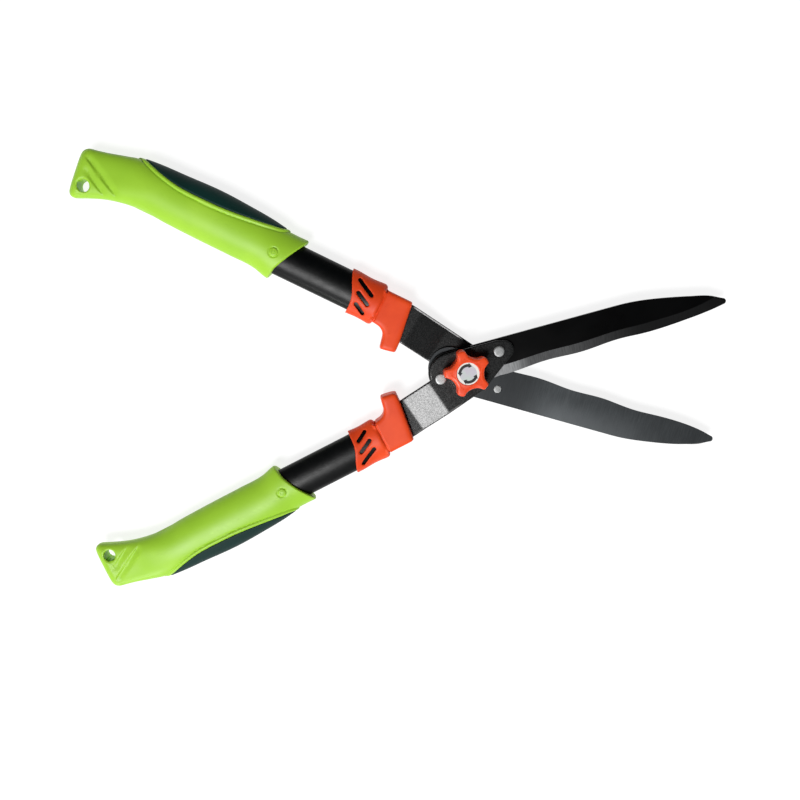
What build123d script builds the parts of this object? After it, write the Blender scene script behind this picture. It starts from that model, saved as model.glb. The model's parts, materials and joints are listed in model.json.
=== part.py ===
"""Hedge shears with oval tube handles, wavy blades and a star-knob tension adjuster.

Units are millimetres. The shears lie flat, with the handles and blades in the XY plane
and +Z up. The origin is on the pivot axis, at the underside of the pivot bolt's head, which
rests on the same surface as the grips. +X points from the pivot towards the blades.

The two arms are alike. The back arm carries the bolt and has its blade under the shear
plane; the front arm is the same arm turned half a turn about the X axis. Each arm is drawn
in its own headings: 0 degrees along the blade, TANG_HEADING along the tang plate and
HANDLE_HEADING along the handle, with the cutting edge and the handle on the same side.
"""

from build123d import *
import os
from dataclasses import dataclass
from math import cos, pi, radians, sin, tan

# ---------------------------------------------------------------- driving dimensions
REST_HALF_ANGLE = 15.5      # each arm is opened by this much from the closed position
TANG_HEADING = 161.5        # direction of the tang plate in the arm
HANDLE_HEADING = 169.0      # direction of the handle tube in the arm

HEAD_HEIGHT = 5.5           # bolt head
WASHER_THICKNESS = 2.0      # washer under the back tang
PLATE = 3.0                 # tang plate
BLADE = 3.0                 # blade, with half of the blade gap
BLADE_GAP = 0.1             # air between the two ground faces
SHEAR_Z = HEAD_HEIGHT + WASHER_THICKNESS + PLATE + BLADE

# blade
SPINE_Y = -18.7             # straight back of the blade
ROOT_CENTRE = (-12.5, -1.7)
ROOT_RADIUS = 17.2          # round end of the blade behind the pivot
EDGE_LAND = 0.4             # unground thickness left at the cutting edge
BEVEL_WIDTH = 7.9           # width of the ground bevel
BEVEL_START = 27.0          # the bevel runs out under the tang plate
WAVE_END = 160.0            # the waves of the cutting edge fade out here
WAVE_SPANS = 9              # spans of the spline that follows the waves
GROUND_DEPTH = 0.6          # the bevel's upper line waves less than the edge
EDGE_SHOULDER = (14.0, 12.6)
SPINE_BEND = 132.0          # the straight back turns towards the tip here
SPINE_POINTS = [(165.0, -15.4), (189.0, -10.6)]
GROUND_TIP = [(184.0, 0.0), (206.0, -4.0), (207.6, -4.6), (208.0, -5.4)]
EDGE_POINTS = [(184.0, 7.3), (204.0, 5.2)]

# pivot hardware, M8
BOLT_RADIUS = 4.0
PIVOT_FIT = 0.05            # radial clearance on everything that turns on the bolt
SQUARE_NECK = 8.0           # bolt neck that keys into the back tang
HEX_ACROSS_FLATS = 13.0
WASHER_RADIUS = 12.0
TOP_WASHER_THICKNESS = 1.5
SPRING_HEIGHT = 1.3
KNOB_HEIGHT = 14.2
KNOB_TIP_RADIUS = 19.0
KNOB_VALLEY_RADIUS = 12.8
KNOB_LOBES = 5
KNOB_CUTTER_RADIUS = 8.5    # radius of each valley's curve
KNOB_ROUND = 1.4
KNOB_TOP_ROUND = 1.6
KNOB_FOOT_ROUND = 0.6
KNOB_CROWN = 3.0            # solid plastic left over the bolt's end
KNOB_BOLT_ROOM = 0.6
LABEL_RADIUS = 8.8

# rivets that hold the blade to the tang plate
RIVET_SPOTS = [(-21.0, 0.3), (30.0, -8.0)]
RIVET_HEAD_RADIUS = 4.5
RIVET_HEAD_HEIGHT = 1.0
RIVET_SHANK_RADIUS = 3.15
RIVET_FIT = 0.02

# tang plate
TANG_INNER = -10.0          # inner and outer edges, measured square to the tang's heading
TANG_OUTER = 21.0
JOGGLE_START = 29.7         # the plate bends here and at JOGGLE_END to reach mid-height
JOGGLE_END = 54.6
NOSE_CENTRE = (34.5, -8.0)
NOSE_RADIUS = 7.7
TAIL_HALF_WIDTH = 11.5
TAIL_SHOULDER = 64.6        # the plate has narrowed to its tail here
PLATE_REACH = 130.0         # the plate's profile is drawn this long before it is cut out
BEND_RADIUS = 5.0
ROOT_RIM = 1.0              # the blade's round end stands this far outside the plate's
TANG_SHOULDERS = [(23.0, 9.6), (12.5, 17.6)]

# oval handle tube, centred TUBE_OFFSET outside the line through the pivot
TUBE_OFFSET = 17.9
TUBE_WIDTH = 30.0
TUBE_HEIGHT = 17.6
TUBE_WALL = 1.3
TUBE_START = 85.6           # the tube ends inside the sleeve, clear of the block
TUBE_END = 300.0
FIT = 0.05                  # assembly clearance between parts of one arm

# collar moulding
SLEEVE_WIDTH = 34.8
SLEEVE_HEIGHT = 22.0
SLEEVE_OFFSET = 17.4
BLOCK_HALF_HEIGHT = 9.6
COLLAR_STEP = 84.6          # where the oval sleeve meets the square block
BUMPER_GAP = 0.1            # air left between each bumper and the centre line when closed
BLOCK_FREE = 9.0            # corners further than this from the sleeve are rounded
BLOCK_CORNER = 1.6
BLOCK_EDGE = 1.4
BLOCK_FRONT = [(62.2, 31.0), (59.0, 6.0), (57.9, -3.0)]
BUMPER_SPAN = (57.6, 70.6)
BUMPER_NECK = [(72.4, -4.0), (80.0, 2.6)]
NECK_RADIUS = 8.5
BLOCK_SIDES = (3.4, 31.0)
SLEEVE_REAR = [(116.8, 40.0), (115.9, 34.0), (112.0, 24.0), (107.6, 13.0), (107.2, 2.0), (108.0, -6.0)]
SLOT_WIDTH = 3.1
SLOTS = [((107.2, 28.8), (93.9, 21.8)), ((104.3, 19.3), (94.0, 13.6)), ((102.3, 10.2), (94.5, 5.6))]

# grip: distance along the handle, inner and outer side, thickness
GRIP_SECTIONS = [
    (150.0, 0.8, 37.6, 23.4),
    (176.0, -0.4, 39.4, 24.4),
    (200.0, 1.3, 41.3, 25.2),
    (232.0, 1.5, 42.3, 25.4),
    (262.0, 2.4, 41.4, 25.2),
    (286.0, 2.8, 39.4, 25.0),
    (306.0, -0.2, 36.2, 25.0),
    (322.0, -5.6, 32.0, 25.4),
    (335.0, -10.6, 29.0, 25.4),
    (346.0, -12.5, 27.0, 25.4),
]
GRIP_OUTLINE = [
    (155.4, 46.0), (156.6, 36.0), (165.2, 21.0), (171.2, 8.0), (174.6, -8.0), (327.0, -18.0),
    (333.0, -12.6), (338.9, -5.0), (341.0, 22.0), (335.6, 30.0), (325.0, 46.0),
]
GRIP_END_HALF_HEIGHT = 7.6  # the grip thins to a flat end around its hang hole
GRIP_END_ROUND = 3.4        # the flat end's rim is rounded by this much
GRIP_THIN_START = 288.0
GRIP_THIN_END = 317.0
INSERT_PROUD = 1.2          # the soft strip and its rim stand this far out of the grip
INSERT_DEPTH = 2.6
INSERT_ENDS = [(174.0, 38.4), (297.0, 38.4)]
INSERT_BORDER = [(196.0, 33.8), (222.0, 31.0), (246.0, 30.4), (270.0, 32.8)]
RIM_WIDTH = 3.2
GRIP_THIN_HALF_HEIGHT = 13.6
HANG_HOLE = (327.4, 1.1)
HANG_HOLE_RADIUS = 4.8
GRIP_PIN_SPOT = (176.4, 18.8)
GRIP_PIN_HEAD_RADIUS = 3.9
GRIP_PIN_RADIUS = 2.5

# pins that lock the tang tail in the tube, under the collar
TUBE_PIN_SPOTS = [(89.8, 17.9), (102.5, 22.3)]
TUBE_PIN_RADIUS = 1.8
TUBE_PIN_INSET = 0.9        # the pins stop this far below the tube's flattest height
PLUG_START = 87.0
PLUG_END = 112.0
TAIL_END = 110.0
GRIP_PIN_SEAT = 10.6        # height over mid-plane where the pin's heads sit in the grip
GRIP_PIN_HEAD_HEIGHT = 2.1

# levels of the pivot stack above the shear plane
TOP_PLATE_Z = SHEAR_Z + BLADE + PLATE
SPRING_Z = TOP_PLATE_Z + TOP_WASHER_THICKNESS
SPRING_STRIP = 0.7
KNOB_Z = SPRING_Z + SPRING_HEIGHT
NUT_HEIGHT = 6.5
BOLT_END = KNOB_Z + 9.5
LABEL_DEPTH = 1.2
LABEL_SINK = 0.3


@dataclass(frozen=True)
class Arm:
    """One half of the shears. side is +1 for the back arm and -1 for the front arm."""

    name: str
    side: int
    blade_set: float        # small angle that the blade is riveted at, towards its edge
    blade_length: float     # pivot to tip
    first_crest: float      # first wave crest of the cutting edge, from the pivot
    wave_pitch: float
    edge_height: float      # height of the first crest over the blade's centre line
    edge_slope: float
    wave_depth: float

    def heading(self, angle):
        """World direction of a heading in this arm."""
        turned = radians(angle - REST_HALF_ANGLE)
        return Vector(cos(turned), self.side * sin(turned), 0)

    def up(self):
        """Direction that leads from this arm's tang plate to the shear plane."""
        return Vector(0, 0, self.side)

    def plan(self, angle, height=0.0):
        """Plane with X along a heading and Y to its left, seen from the arm's own top."""
        origin = Vector(0, 0, SHEAR_Z) + self.up() * height
        return Plane(origin=origin, x_dir=self.heading(angle), z_dir=self.up())

    def handle_plan(self, height=0.0):
        """Plane with X along the handle and Y square to it, away from the other arm."""
        origin = Vector(0, 0, SHEAR_Z) + self.up() * height
        return Plane(origin=origin, x_dir=self.heading(HANDLE_HEADING), z_dir=self.up() * -1)

    def handle_side(self):
        """Upright plane along the handle, with X along it and Y up."""
        heading = self.heading(HANDLE_HEADING)
        return Plane(origin=Vector(0, 0, SHEAR_Z), x_dir=heading, z_dir=heading.cross(Vector(0, 0, 1)))

    def section(self, along, across):
        """Plane square to the handle, with X away from the other arm."""
        outward = self.heading(HANDLE_HEADING - 90)
        origin = Vector(0, 0, SHEAR_Z) + self.heading(HANDLE_HEADING) * along + outward * across
        return Plane(origin=origin, x_dir=outward, z_dir=self.heading(HANDLE_HEADING))

    def edge(self, x, depth=1.0):
        """Height of the wavy cutting edge at a distance from the pivot."""
        wave = self.wave_depth * depth * (1 - cos(2 * pi * (x - self.first_crest) / self.wave_pitch)) / 2
        return self.edge_height - self.edge_slope * (x - self.first_crest) - wave


BACK = Arm("back", 1, -1.1, 215.0, 62.0, 53.5, 10.4, 0.030, 1.3)
FRONT = Arm("front", -1, 1.0, 218.0, 36.0, 59.5, 11.3, 0.019, 1.45)


def from_polar(along, across, heading):
    """Arm coordinates of a point given along and square to a heading."""
    a = radians(heading)
    return (along * cos(a) + across * sin(a), along * sin(a) - across * cos(a))


def on_tang(along, across):
    return from_polar(along, across, TANG_HEADING)


def on_handle(along, across):
    return from_polar(along, across, HANDLE_HEADING)


def save(piece, name):
    """Label a finished piece and write it."""
    piece.label = name
    export_step(piece, f"parts/{name}.step")


# ---------------------------------------------------------------- blades
def blade_outline(arm, ground):
    """Outline of one blade. ground moves the cutting edge back to the top of the bevel."""
    length = arm.blade_length
    shift = BEVEL_WIDTH if ground else 0.0
    depth = GROUND_DEPTH if ground else 1.0
    edge_start = (BEVEL_START, arm.edge(BEVEL_START) - shift)
    span = (WAVE_END - BEVEL_START) / WAVE_SPANS
    steps = [BEVEL_START + span * i for i in range(1, WAVE_SPANS + 1)]
    edge_points = [edge_start] + [(x, arm.edge(x, depth) - shift) for x in steps]
    if ground:
        edge_points += GROUND_TIP[:2]
        tip_mid, tip_low = GROUND_TIP[2:]
    else:
        edge_points += EDGE_POINTS + [(length - 2.4, 3.2)]
        tip_mid = (length, 1.0)
        tip_low = (length - 2.0, -1.6)
    root_x, root_y = ROOT_CENTRE
    spine_start = (root_x, SPINE_Y)
    spine_bend = (SPINE_BEND, SPINE_Y)
    root_back = (root_x - ROOT_RADIUS, root_y)
    root_low = (root_back[0], root_y - 1)
    root_top = (root_x, root_y + ROOT_RADIUS)
    diagonal = ROOT_RADIUS * cos(pi / 4)
    with BuildLine() as outline:
        Line(spine_start, spine_bend)
        Spline([spine_bend] + SPINE_POINTS + [tip_low], tangents=[(1, 0), (2.0, 1.0)])
        ThreePointArc(tip_low, tip_mid, edge_points[-1])
        Spline(edge_points[::-1])
        Line(edge_start, EDGE_SHOULDER)
        Line(EDGE_SHOULDER, root_top)
        ThreePointArc(root_top, (root_x - diagonal, root_y + diagonal), root_back)
        Line(root_back, root_low)
        ThreePointArc(root_low, (root_x - 12.0, SPINE_Y + 4.6), spine_start)
    return outline.line


def make_blade(arm):
    """A 3 mm plate, flat on the shear side, with one bevel ground on the other."""
    level = -BLADE_GAP / 2
    heading = arm.blade_set
    with BuildPart() as blade:
        with BuildSketch(arm.plan(heading, level)):
            add(blade_outline(arm, ground=False))
            make_face()
        extrude(amount=-EDGE_LAND)
        with BuildSketch(arm.plan(heading, level - EDGE_LAND)):
            add(blade_outline(arm, ground=False))
            make_face()
        with BuildSketch(arm.plan(heading, -BLADE)):
            add(blade_outline(arm, ground=True))
            make_face()
        loft(ruled=True)
        with BuildSketch(arm.plan(0)):
            Circle(BOLT_RADIUS + PIVOT_FIT)
            with Locations(*RIVET_SPOTS):
                Circle(RIVET_SHANK_RADIUS + RIVET_FIT)
        extrude(amount=BLADE * 2, both=True, mode=Mode.SUBTRACT)
    save(blade.part, f"{arm.name}_blade")


# ---------------------------------------------------------------- tang plates
def make_tang(arm):
    """Pressed plate under the blade root, joggled to mid-height where it enters the collar."""
    low = -BLADE - PLATE
    half = PLATE / 2
    root_x, root_y = ROOT_CENTRE
    root_radius = ROOT_RADIUS - ROOT_RIM
    diagonal = root_radius * cos(pi / 4)
    nose_x, nose_y = NOSE_CENTRE
    nose_turn = radians(50)
    with BuildPart() as tang:
        side_plane = Plane(
            origin=arm.plan(0).origin,
            x_dir=arm.heading(TANG_HEADING),
            z_dir=arm.heading(TANG_HEADING).cross(arm.up()),
        )
        with BuildSketch(side_plane):
            with BuildLine():
                Polyline(
                    (-PLATE_REACH, low), (JOGGLE_START, low), (JOGGLE_END, -half),
                    (PLATE_REACH, -half), (PLATE_REACH, half), (JOGGLE_END, half),
                    (JOGGLE_START, low + PLATE), (-PLATE_REACH, low + PLATE),
                    close=True,
                )
            profile = make_face()
            middle = arm.plan(0).origin
            bends = profile.vertices().filter_by(lambda v: abs(v.distance_to(middle)) < PLATE_REACH / 2)
            fillet(bends, BEND_RADIUS)
        extrude(amount=PLATE_REACH / 2, both=True)
        with BuildSketch(arm.plan(0, 10)):
            with BuildLine():
                inner_start = (root_x - root_radius, root_y)
                inner_bottom = (root_x, root_y - root_radius)
                nose_low = (nose_x, nose_y - NOSE_RADIUS)
                nose_high = (nose_x + NOSE_RADIUS * cos(nose_turn), nose_y + NOSE_RADIUS * sin(nose_turn))
                ThreePointArc(inner_start, (root_x - diagonal, root_y - diagonal), inner_bottom)
                Polyline(inner_bottom, (0, SPINE_Y + 0.9), (nose_x - 4, SPINE_Y + 1.6), nose_low)
                ThreePointArc(nose_low, (nose_x + NOSE_RADIUS, nose_y), nose_high)
                Polyline([
                    nose_high,
                    *TANG_SHOULDERS,
                    on_tang(6, TANG_OUTER),
                    on_tang(61.5, TANG_OUTER),
                    on_handle(TAIL_SHOULDER, TUBE_OFFSET + TAIL_HALF_WIDTH),
                    on_handle(TAIL_END, TUBE_OFFSET + TAIL_HALF_WIDTH),
                    on_handle(TAIL_END, TUBE_OFFSET - TAIL_HALF_WIDTH),
                    on_handle(TAIL_SHOULDER, TUBE_OFFSET - TAIL_HALF_WIDTH),
                    on_tang(60, TANG_INNER),
                    on_tang(27, TANG_INNER),
                    inner_start,
                ])
            make_face()
        extrude(amount=-30, mode=Mode.INTERSECT)
        with BuildSketch(arm.plan(0, low - 1)):
            if arm.side > 0:
                Rectangle(SQUARE_NECK + 2 * FIT, SQUARE_NECK + 2 * FIT)
            else:
                Circle(BOLT_RADIUS + PIVOT_FIT)
            with Locations(*RIVET_SPOTS):
                Circle(RIVET_SHANK_RADIUS + RIVET_FIT)
        extrude(amount=PLATE + 2, mode=Mode.SUBTRACT)
        with BuildSketch(arm.handle_plan()):
            with Locations(*TUBE_PIN_SPOTS):
                Circle(TUBE_PIN_RADIUS + FIT)
        extrude(amount=PLATE, both=True, mode=Mode.SUBTRACT)
    save(tang.part, f"{arm.name}_tang")


def make_blade_rivets(arm):
    """Two rivets with low round heads on the tang plate, flush on the shear face."""
    with BuildPart() as rivets:
        with BuildSketch(arm.plan(0, -BLADE_GAP)):
            with Locations(*RIVET_SPOTS):
                Circle(RIVET_SHANK_RADIUS)
        extrude(amount=-(BLADE + PLATE - BLADE_GAP))
        with BuildSketch(arm.plan(0, -BLADE - PLATE)):
            with Locations(*RIVET_SPOTS):
                Circle(RIVET_HEAD_RADIUS)
        extrude(amount=-RIVET_HEAD_HEIGHT)
        rims = rivets.edges().filter_by(GeomType.CIRCLE).group_by(Axis.Z)[0 if arm.side > 0 else -1]
        fillet(rims, 0.45)
    save(rivets.part, f"{arm.name}_blade_rivets")


# ---------------------------------------------------------------- tube and what is in it
def make_tube(arm):
    """Oval steel tube, open at both ends, drilled for its pins."""
    with BuildPart() as tube:
        with BuildSketch(arm.section(TUBE_START, TUBE_OFFSET)):
            Ellipse(TUBE_WIDTH / 2, TUBE_HEIGHT / 2)
            Ellipse(TUBE_WIDTH / 2 - TUBE_WALL, TUBE_HEIGHT / 2 - TUBE_WALL, mode=Mode.SUBTRACT)
        extrude(amount=TUBE_END - TUBE_START)
        with BuildSketch(arm.handle_plan()):
            with Locations(*TUBE_PIN_SPOTS):
                Circle(TUBE_PIN_RADIUS + FIT)
            with Locations(GRIP_PIN_SPOT):
                Circle(GRIP_PIN_RADIUS + FIT)
        extrude(amount=TUBE_HEIGHT, both=True, mode=Mode.SUBTRACT)
    save(tube.part, f"{arm.name}_tube")


def make_tang_plug(arm):
    """Nylon plug that fills the tube around the tang's tail."""
    with BuildPart() as plug:
        with BuildSketch(arm.section(PLUG_START, TUBE_OFFSET)):
            Ellipse(TUBE_WIDTH / 2 - TUBE_WALL - FIT, TUBE_HEIGHT / 2 - TUBE_WALL - FIT)
            Rectangle(2 * (TAIL_HALF_WIDTH + FIT), PLATE + 2 * FIT, mode=Mode.SUBTRACT)
        extrude(amount=PLUG_END - PLUG_START)
        with BuildSketch(arm.handle_plan()):
            with Locations(*TUBE_PIN_SPOTS):
                Circle(TUBE_PIN_RADIUS + FIT)
        extrude(amount=TUBE_HEIGHT, both=True, mode=Mode.SUBTRACT)
    save(plug.part, f"{arm.name}_tang_plug")


def make_tube_pins(arm):
    """Two pins through tube, plug and tang, with their ends inside the tube's wall."""
    with BuildPart() as pins:
        with BuildSketch(arm.handle_plan()):
            with Locations(*TUBE_PIN_SPOTS):
                Circle(TUBE_PIN_RADIUS)
        extrude(amount=TUBE_HEIGHT / 2 - TUBE_PIN_INSET, both=True)
    save(pins.part, f"{arm.name}_tube_pins")


# ---------------------------------------------------------------- collar with bumper
def bumper_face(along):
    """Across value of the bumper's face: the centre line of the closed shears, less the gap."""
    lean = radians(180 - HANDLE_HEADING)
    return -along * tan(lean) + BUMPER_GAP / cos(lean)


def block_corners(collar, arm):
    """Upright edges of the block that stand free of the sleeve."""
    along = arm.heading(HANDLE_HEADING)
    upright = collar.edges().filter_by(Axis.Z)
    return upright.filter_by(lambda e: e.center().dot(along) < COLLAR_STEP - BLOCK_FREE)


def make_collar(arm):
    """Moulded collar: oval sleeve with three slots, square block and the closing bumper."""
    bumper_front, bumper_rear = BUMPER_SPAN
    block_inner, block_outer = BLOCK_SIDES
    block_end = COLLAR_STEP + 2
    with BuildPart() as collar:
        with BuildSketch(arm.handle_plan(BLOCK_HALF_HEIGHT)):
            with BuildLine():
                Polyline([
                    *BLOCK_FRONT,
                    (bumper_front, bumper_face(bumper_front)),
                    (bumper_rear, bumper_face(bumper_rear)),
                    BUMPER_NECK[0],
                ])
                RadiusArc(*BUMPER_NECK, NECK_RADIUS)
                Polyline([
                    BUMPER_NECK[1],
                    (block_end, block_inner),
                    (block_end, block_outer),
                    BLOCK_FRONT[0],
                ])
            make_face()
        extrude(amount=2 * BLOCK_HALF_HEIGHT)
        fillet(block_corners(collar, arm), BLOCK_CORNER)
        fillet(collar.faces().sort_by(Axis.Z)[-1].edges(), BLOCK_EDGE)
        fillet(collar.faces().sort_by(Axis.Z)[0].edges(), BLOCK_EDGE)
        with BuildSketch(arm.section(COLLAR_STEP, SLEEVE_OFFSET)):
            Ellipse(SLEEVE_WIDTH / 2, SLEEVE_HEIGHT / 2)
        extrude(amount=32)
        with BuildSketch(arm.handle_plan(20)):
            with BuildLine():
                Spline(SLEEVE_REAR)
                rear_top, rear_low = SLEEVE_REAR[0], SLEEVE_REAR[-1]
                Polyline(rear_low, (130.0, rear_low[1]), (130.0, rear_top[1]), rear_top)
            make_face()
        extrude(amount=40, mode=Mode.SUBTRACT)
        with BuildSketch(arm.section(TUBE_START - FIT, TUBE_OFFSET)):
            Ellipse(TUBE_WIDTH / 2 + FIT, TUBE_HEIGHT / 2 + FIT)
        extrude(amount=60, mode=Mode.SUBTRACT)
        with BuildSketch(arm.plan(0, PLATE / 2 + FIT)):
            with BuildLine():
                Polyline(
                    on_tang(50, TANG_OUTER + FIT), on_tang(61.6, TANG_OUTER + FIT),
                    on_handle(TAIL_SHOULDER + FIT, TUBE_OFFSET + TAIL_HALF_WIDTH + FIT),
                    on_handle(TUBE_START + 1, TUBE_OFFSET + TAIL_HALF_WIDTH + FIT),
                    on_handle(TUBE_START + 1, TUBE_OFFSET - TAIL_HALF_WIDTH - FIT),
                    on_handle(TAIL_SHOULDER + FIT, TUBE_OFFSET - TAIL_HALF_WIDTH - FIT),
                    on_tang(60.1, TANG_INNER - FIT), on_tang(50, TANG_INNER - FIT),
                    close=True,
                )
            make_face()
        extrude(amount=-(PLATE + 2 * FIT), mode=Mode.SUBTRACT)
        with BuildSketch(arm.handle_plan(20)):
            for start, end in SLOTS:
                middle = (Vector(start) + Vector(end)) / 2
                span = Vector(end) - Vector(start)
                slant = Vector(1, 0).get_signed_angle(span, Vector(0, 0, 1))
                with Locations(Location(middle, (0, 0, 1), slant)):
                    SlotCenterToCenter(span.length, SLOT_WIDTH)
        extrude(amount=40, mode=Mode.SUBTRACT)
    save(collar.part, f"{arm.name}_collar")


# ---------------------------------------------------------------- grips
def grip_loft(arm, grow):
    """Loft of the oval grip sections, with grow added to every side."""
    with BuildPart() as shape:
        for along, inner, outer, thick in GRIP_SECTIONS:
            with BuildSketch(arm.section(along, (inner + outer) / 2)):
                Ellipse((outer - inner) / 2 + grow, thick / 2 + grow)
        loft()
    return shape.part


def insert_region(arm, margin):
    """Upright prism over the outer side of the grip, where the soft strip lies."""
    (front, level), (rear, _) = INSERT_ENDS
    start = (front - margin, level)
    end = (rear + margin, level)
    low = [(along, across - margin) for along, across in INSERT_BORDER]
    with BuildPart() as region:
        with BuildSketch(arm.handle_plan(30)):
            with BuildLine():
                Spline([start] + low + [end])
                Polyline(end, (end[0], 60), (start[0], 60), start)
            make_face()
        extrude(amount=60)
    return region.part


def end_rim(grip, arm):
    """Straight edges of the grip's flat end, on both faces."""
    along = arm.heading(HANDLE_HEADING)
    level = GRIP_END_HALF_HEIGHT - 0.1
    straight = grip.edges().filter_by(GeomType.LINE)
    return straight.filter_by(
        lambda e: e.center().dot(along) > GRIP_THIN_END + 8 and abs(e.center().Z - SHEAR_Z) > level
    )


def make_grip(arm):
    """Hard grip shell pushed over the tube, with the raised rim and seat of the soft strip."""
    with BuildPart() as grip:
        add(grip_loft(arm, 0))
        add(grip_loft(arm, INSERT_PROUD) & insert_region(arm, RIM_WIDTH))
        add(insert_region(arm, 0) - grip_loft(arm, -INSERT_DEPTH), mode=Mode.SUBTRACT)
        with BuildSketch(arm.handle_plan(30)):
            with BuildLine():
                Polyline(GRIP_OUTLINE, close=True)
            make_face()
        extrude(amount=60, mode=Mode.INTERSECT)
        with BuildSketch(arm.handle_side()):
            with BuildLine():
                front, rear = GRIP_SECTIONS[0][0] - 10, GRIP_SECTIONS[-1][0] + 14
                Polyline((GRIP_THIN_START, 20), (front, 20), (front, -20), (GRIP_THIN_START, -20))
                for top in (1, -1):
                    thin_start = (GRIP_THIN_START, GRIP_THIN_HALF_HEIGHT * top)
                    thin_end = (GRIP_THIN_END, GRIP_END_HALF_HEIGHT * top)
                    Line((GRIP_THIN_START, 20 * top), thin_start)
                    Spline(thin_start, thin_end, tangents=[(1, -0.1 * top), (1, 0)])
                    Line(thin_end, (rear, GRIP_END_HALF_HEIGHT * top))
                Line((rear, GRIP_END_HALF_HEIGHT), (rear, -GRIP_END_HALF_HEIGHT))
            make_face()
        extrude(amount=80, both=True, mode=Mode.INTERSECT)
        fillet(end_rim(grip, arm), GRIP_END_ROUND)
        with BuildSketch(arm.section(front, TUBE_OFFSET)):
            Ellipse(TUBE_WIDTH / 2 + FIT, TUBE_HEIGHT / 2 + FIT)
        extrude(amount=TUBE_END + 1 - front, mode=Mode.SUBTRACT)
        with BuildSketch(arm.handle_plan(30)):
            with Locations(HANG_HOLE):
                Circle(HANG_HOLE_RADIUS)
            with Locations(GRIP_PIN_SPOT):
                Circle(GRIP_PIN_RADIUS + FIT)
        extrude(amount=60, mode=Mode.SUBTRACT)
        for level in (GRIP_PIN_SEAT, -GRIP_PIN_SEAT):
            with BuildSketch(arm.handle_plan(level)):
                with Locations(GRIP_PIN_SPOT):
                    Circle(GRIP_PIN_HEAD_RADIUS + FIT)
            extrude(amount=-level, mode=Mode.SUBTRACT)
    save(grip.part, f"{arm.name}_grip")


def make_grip_insert(arm):
    """Soft strip moulded along the outer side of the grip, over both faces."""
    with BuildPart() as insert:
        add(grip_loft(arm, INSERT_PROUD) & insert_region(arm, 0))
        add(grip_loft(arm, -INSERT_DEPTH), mode=Mode.SUBTRACT)
    save(insert.part, f"{arm.name}_grip_insert")


def make_grip_pin(arm):
    """Pin through grip and tube, with a flat head let into each face of the grip."""
    with BuildPart() as pin:
        with BuildSketch(arm.handle_plan()):
            with Locations(GRIP_PIN_SPOT):
                Circle(GRIP_PIN_RADIUS)
        extrude(amount=GRIP_PIN_SEAT, both=True)
        for level in (GRIP_PIN_SEAT, -GRIP_PIN_SEAT):
            with BuildSketch(arm.handle_plan(level)):
                with Locations(GRIP_PIN_SPOT):
                    Circle(GRIP_PIN_HEAD_RADIUS)
            extrude(amount=-GRIP_PIN_HEAD_HEIGHT if level > 0 else GRIP_PIN_HEAD_HEIGHT)
    save(pin.part, f"{arm.name}_grip_pin")


# ---------------------------------------------------------------- pivot hardware
def make_pivot_bolt():
    """M8 bolt from below: hexagon head, square neck in the back tang, plain shank."""
    neck_start = HEAD_HEIGHT
    with BuildPart() as bolt:
        with BuildSketch(Plane.XY):
            RegularPolygon(HEX_ACROSS_FLATS / 2, 6, major_radius=False)
        extrude(amount=HEAD_HEIGHT)
        with BuildSketch(Plane.XY.offset(neck_start)):
            Rectangle(SQUARE_NECK, SQUARE_NECK, rotation=-REST_HALF_ANGLE)
        extrude(amount=WASHER_THICKNESS + PLATE)
        with BuildSketch(Plane.XY.offset(neck_start)):
            Circle(BOLT_RADIUS)
        extrude(amount=BOLT_END - neck_start)
        chamfer(bolt.faces().sort_by(Axis.Z)[-1].edges(), 0.8)
    save(bolt.part, "pivot_bolt")


def make_washers():
    """Washers under the back tang and on the front tang, and the disc spring above."""
    with BuildPart() as back_washer:
        with BuildSketch(Plane.XY.offset(HEAD_HEIGHT)):
            Circle(WASHER_RADIUS)
            Rectangle(
                SQUARE_NECK + 2 * FIT, SQUARE_NECK + 2 * FIT,
                rotation=-REST_HALF_ANGLE, mode=Mode.SUBTRACT,
            )
        extrude(amount=WASHER_THICKNESS)
    save(back_washer.part, "back_washer")

    with BuildPart() as front_washer:
        with BuildSketch(Plane.XY.offset(TOP_PLATE_Z)):
            Circle(WASHER_RADIUS)
            Circle(BOLT_RADIUS + PIVOT_FIT, mode=Mode.SUBTRACT)
        extrude(amount=TOP_WASHER_THICKNESS)
    save(front_washer.part, "front_washer")

    with BuildPart() as disc_spring:
        with BuildSketch(Plane.XZ):
            with BuildLine():
                inner = BOLT_RADIUS + PIVOT_FIT
                outer = WASHER_RADIUS - 3.0
                Polyline(
                    (inner, SPRING_Z + SPRING_HEIGHT - SPRING_STRIP), (outer, SPRING_Z),
                    (outer, SPRING_Z + SPRING_STRIP), (inner, SPRING_Z + SPRING_HEIGHT), close=True,
                )
            make_face()
        revolve(axis=Axis.Z)
    save(disc_spring.part, "disc_spring")


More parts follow.
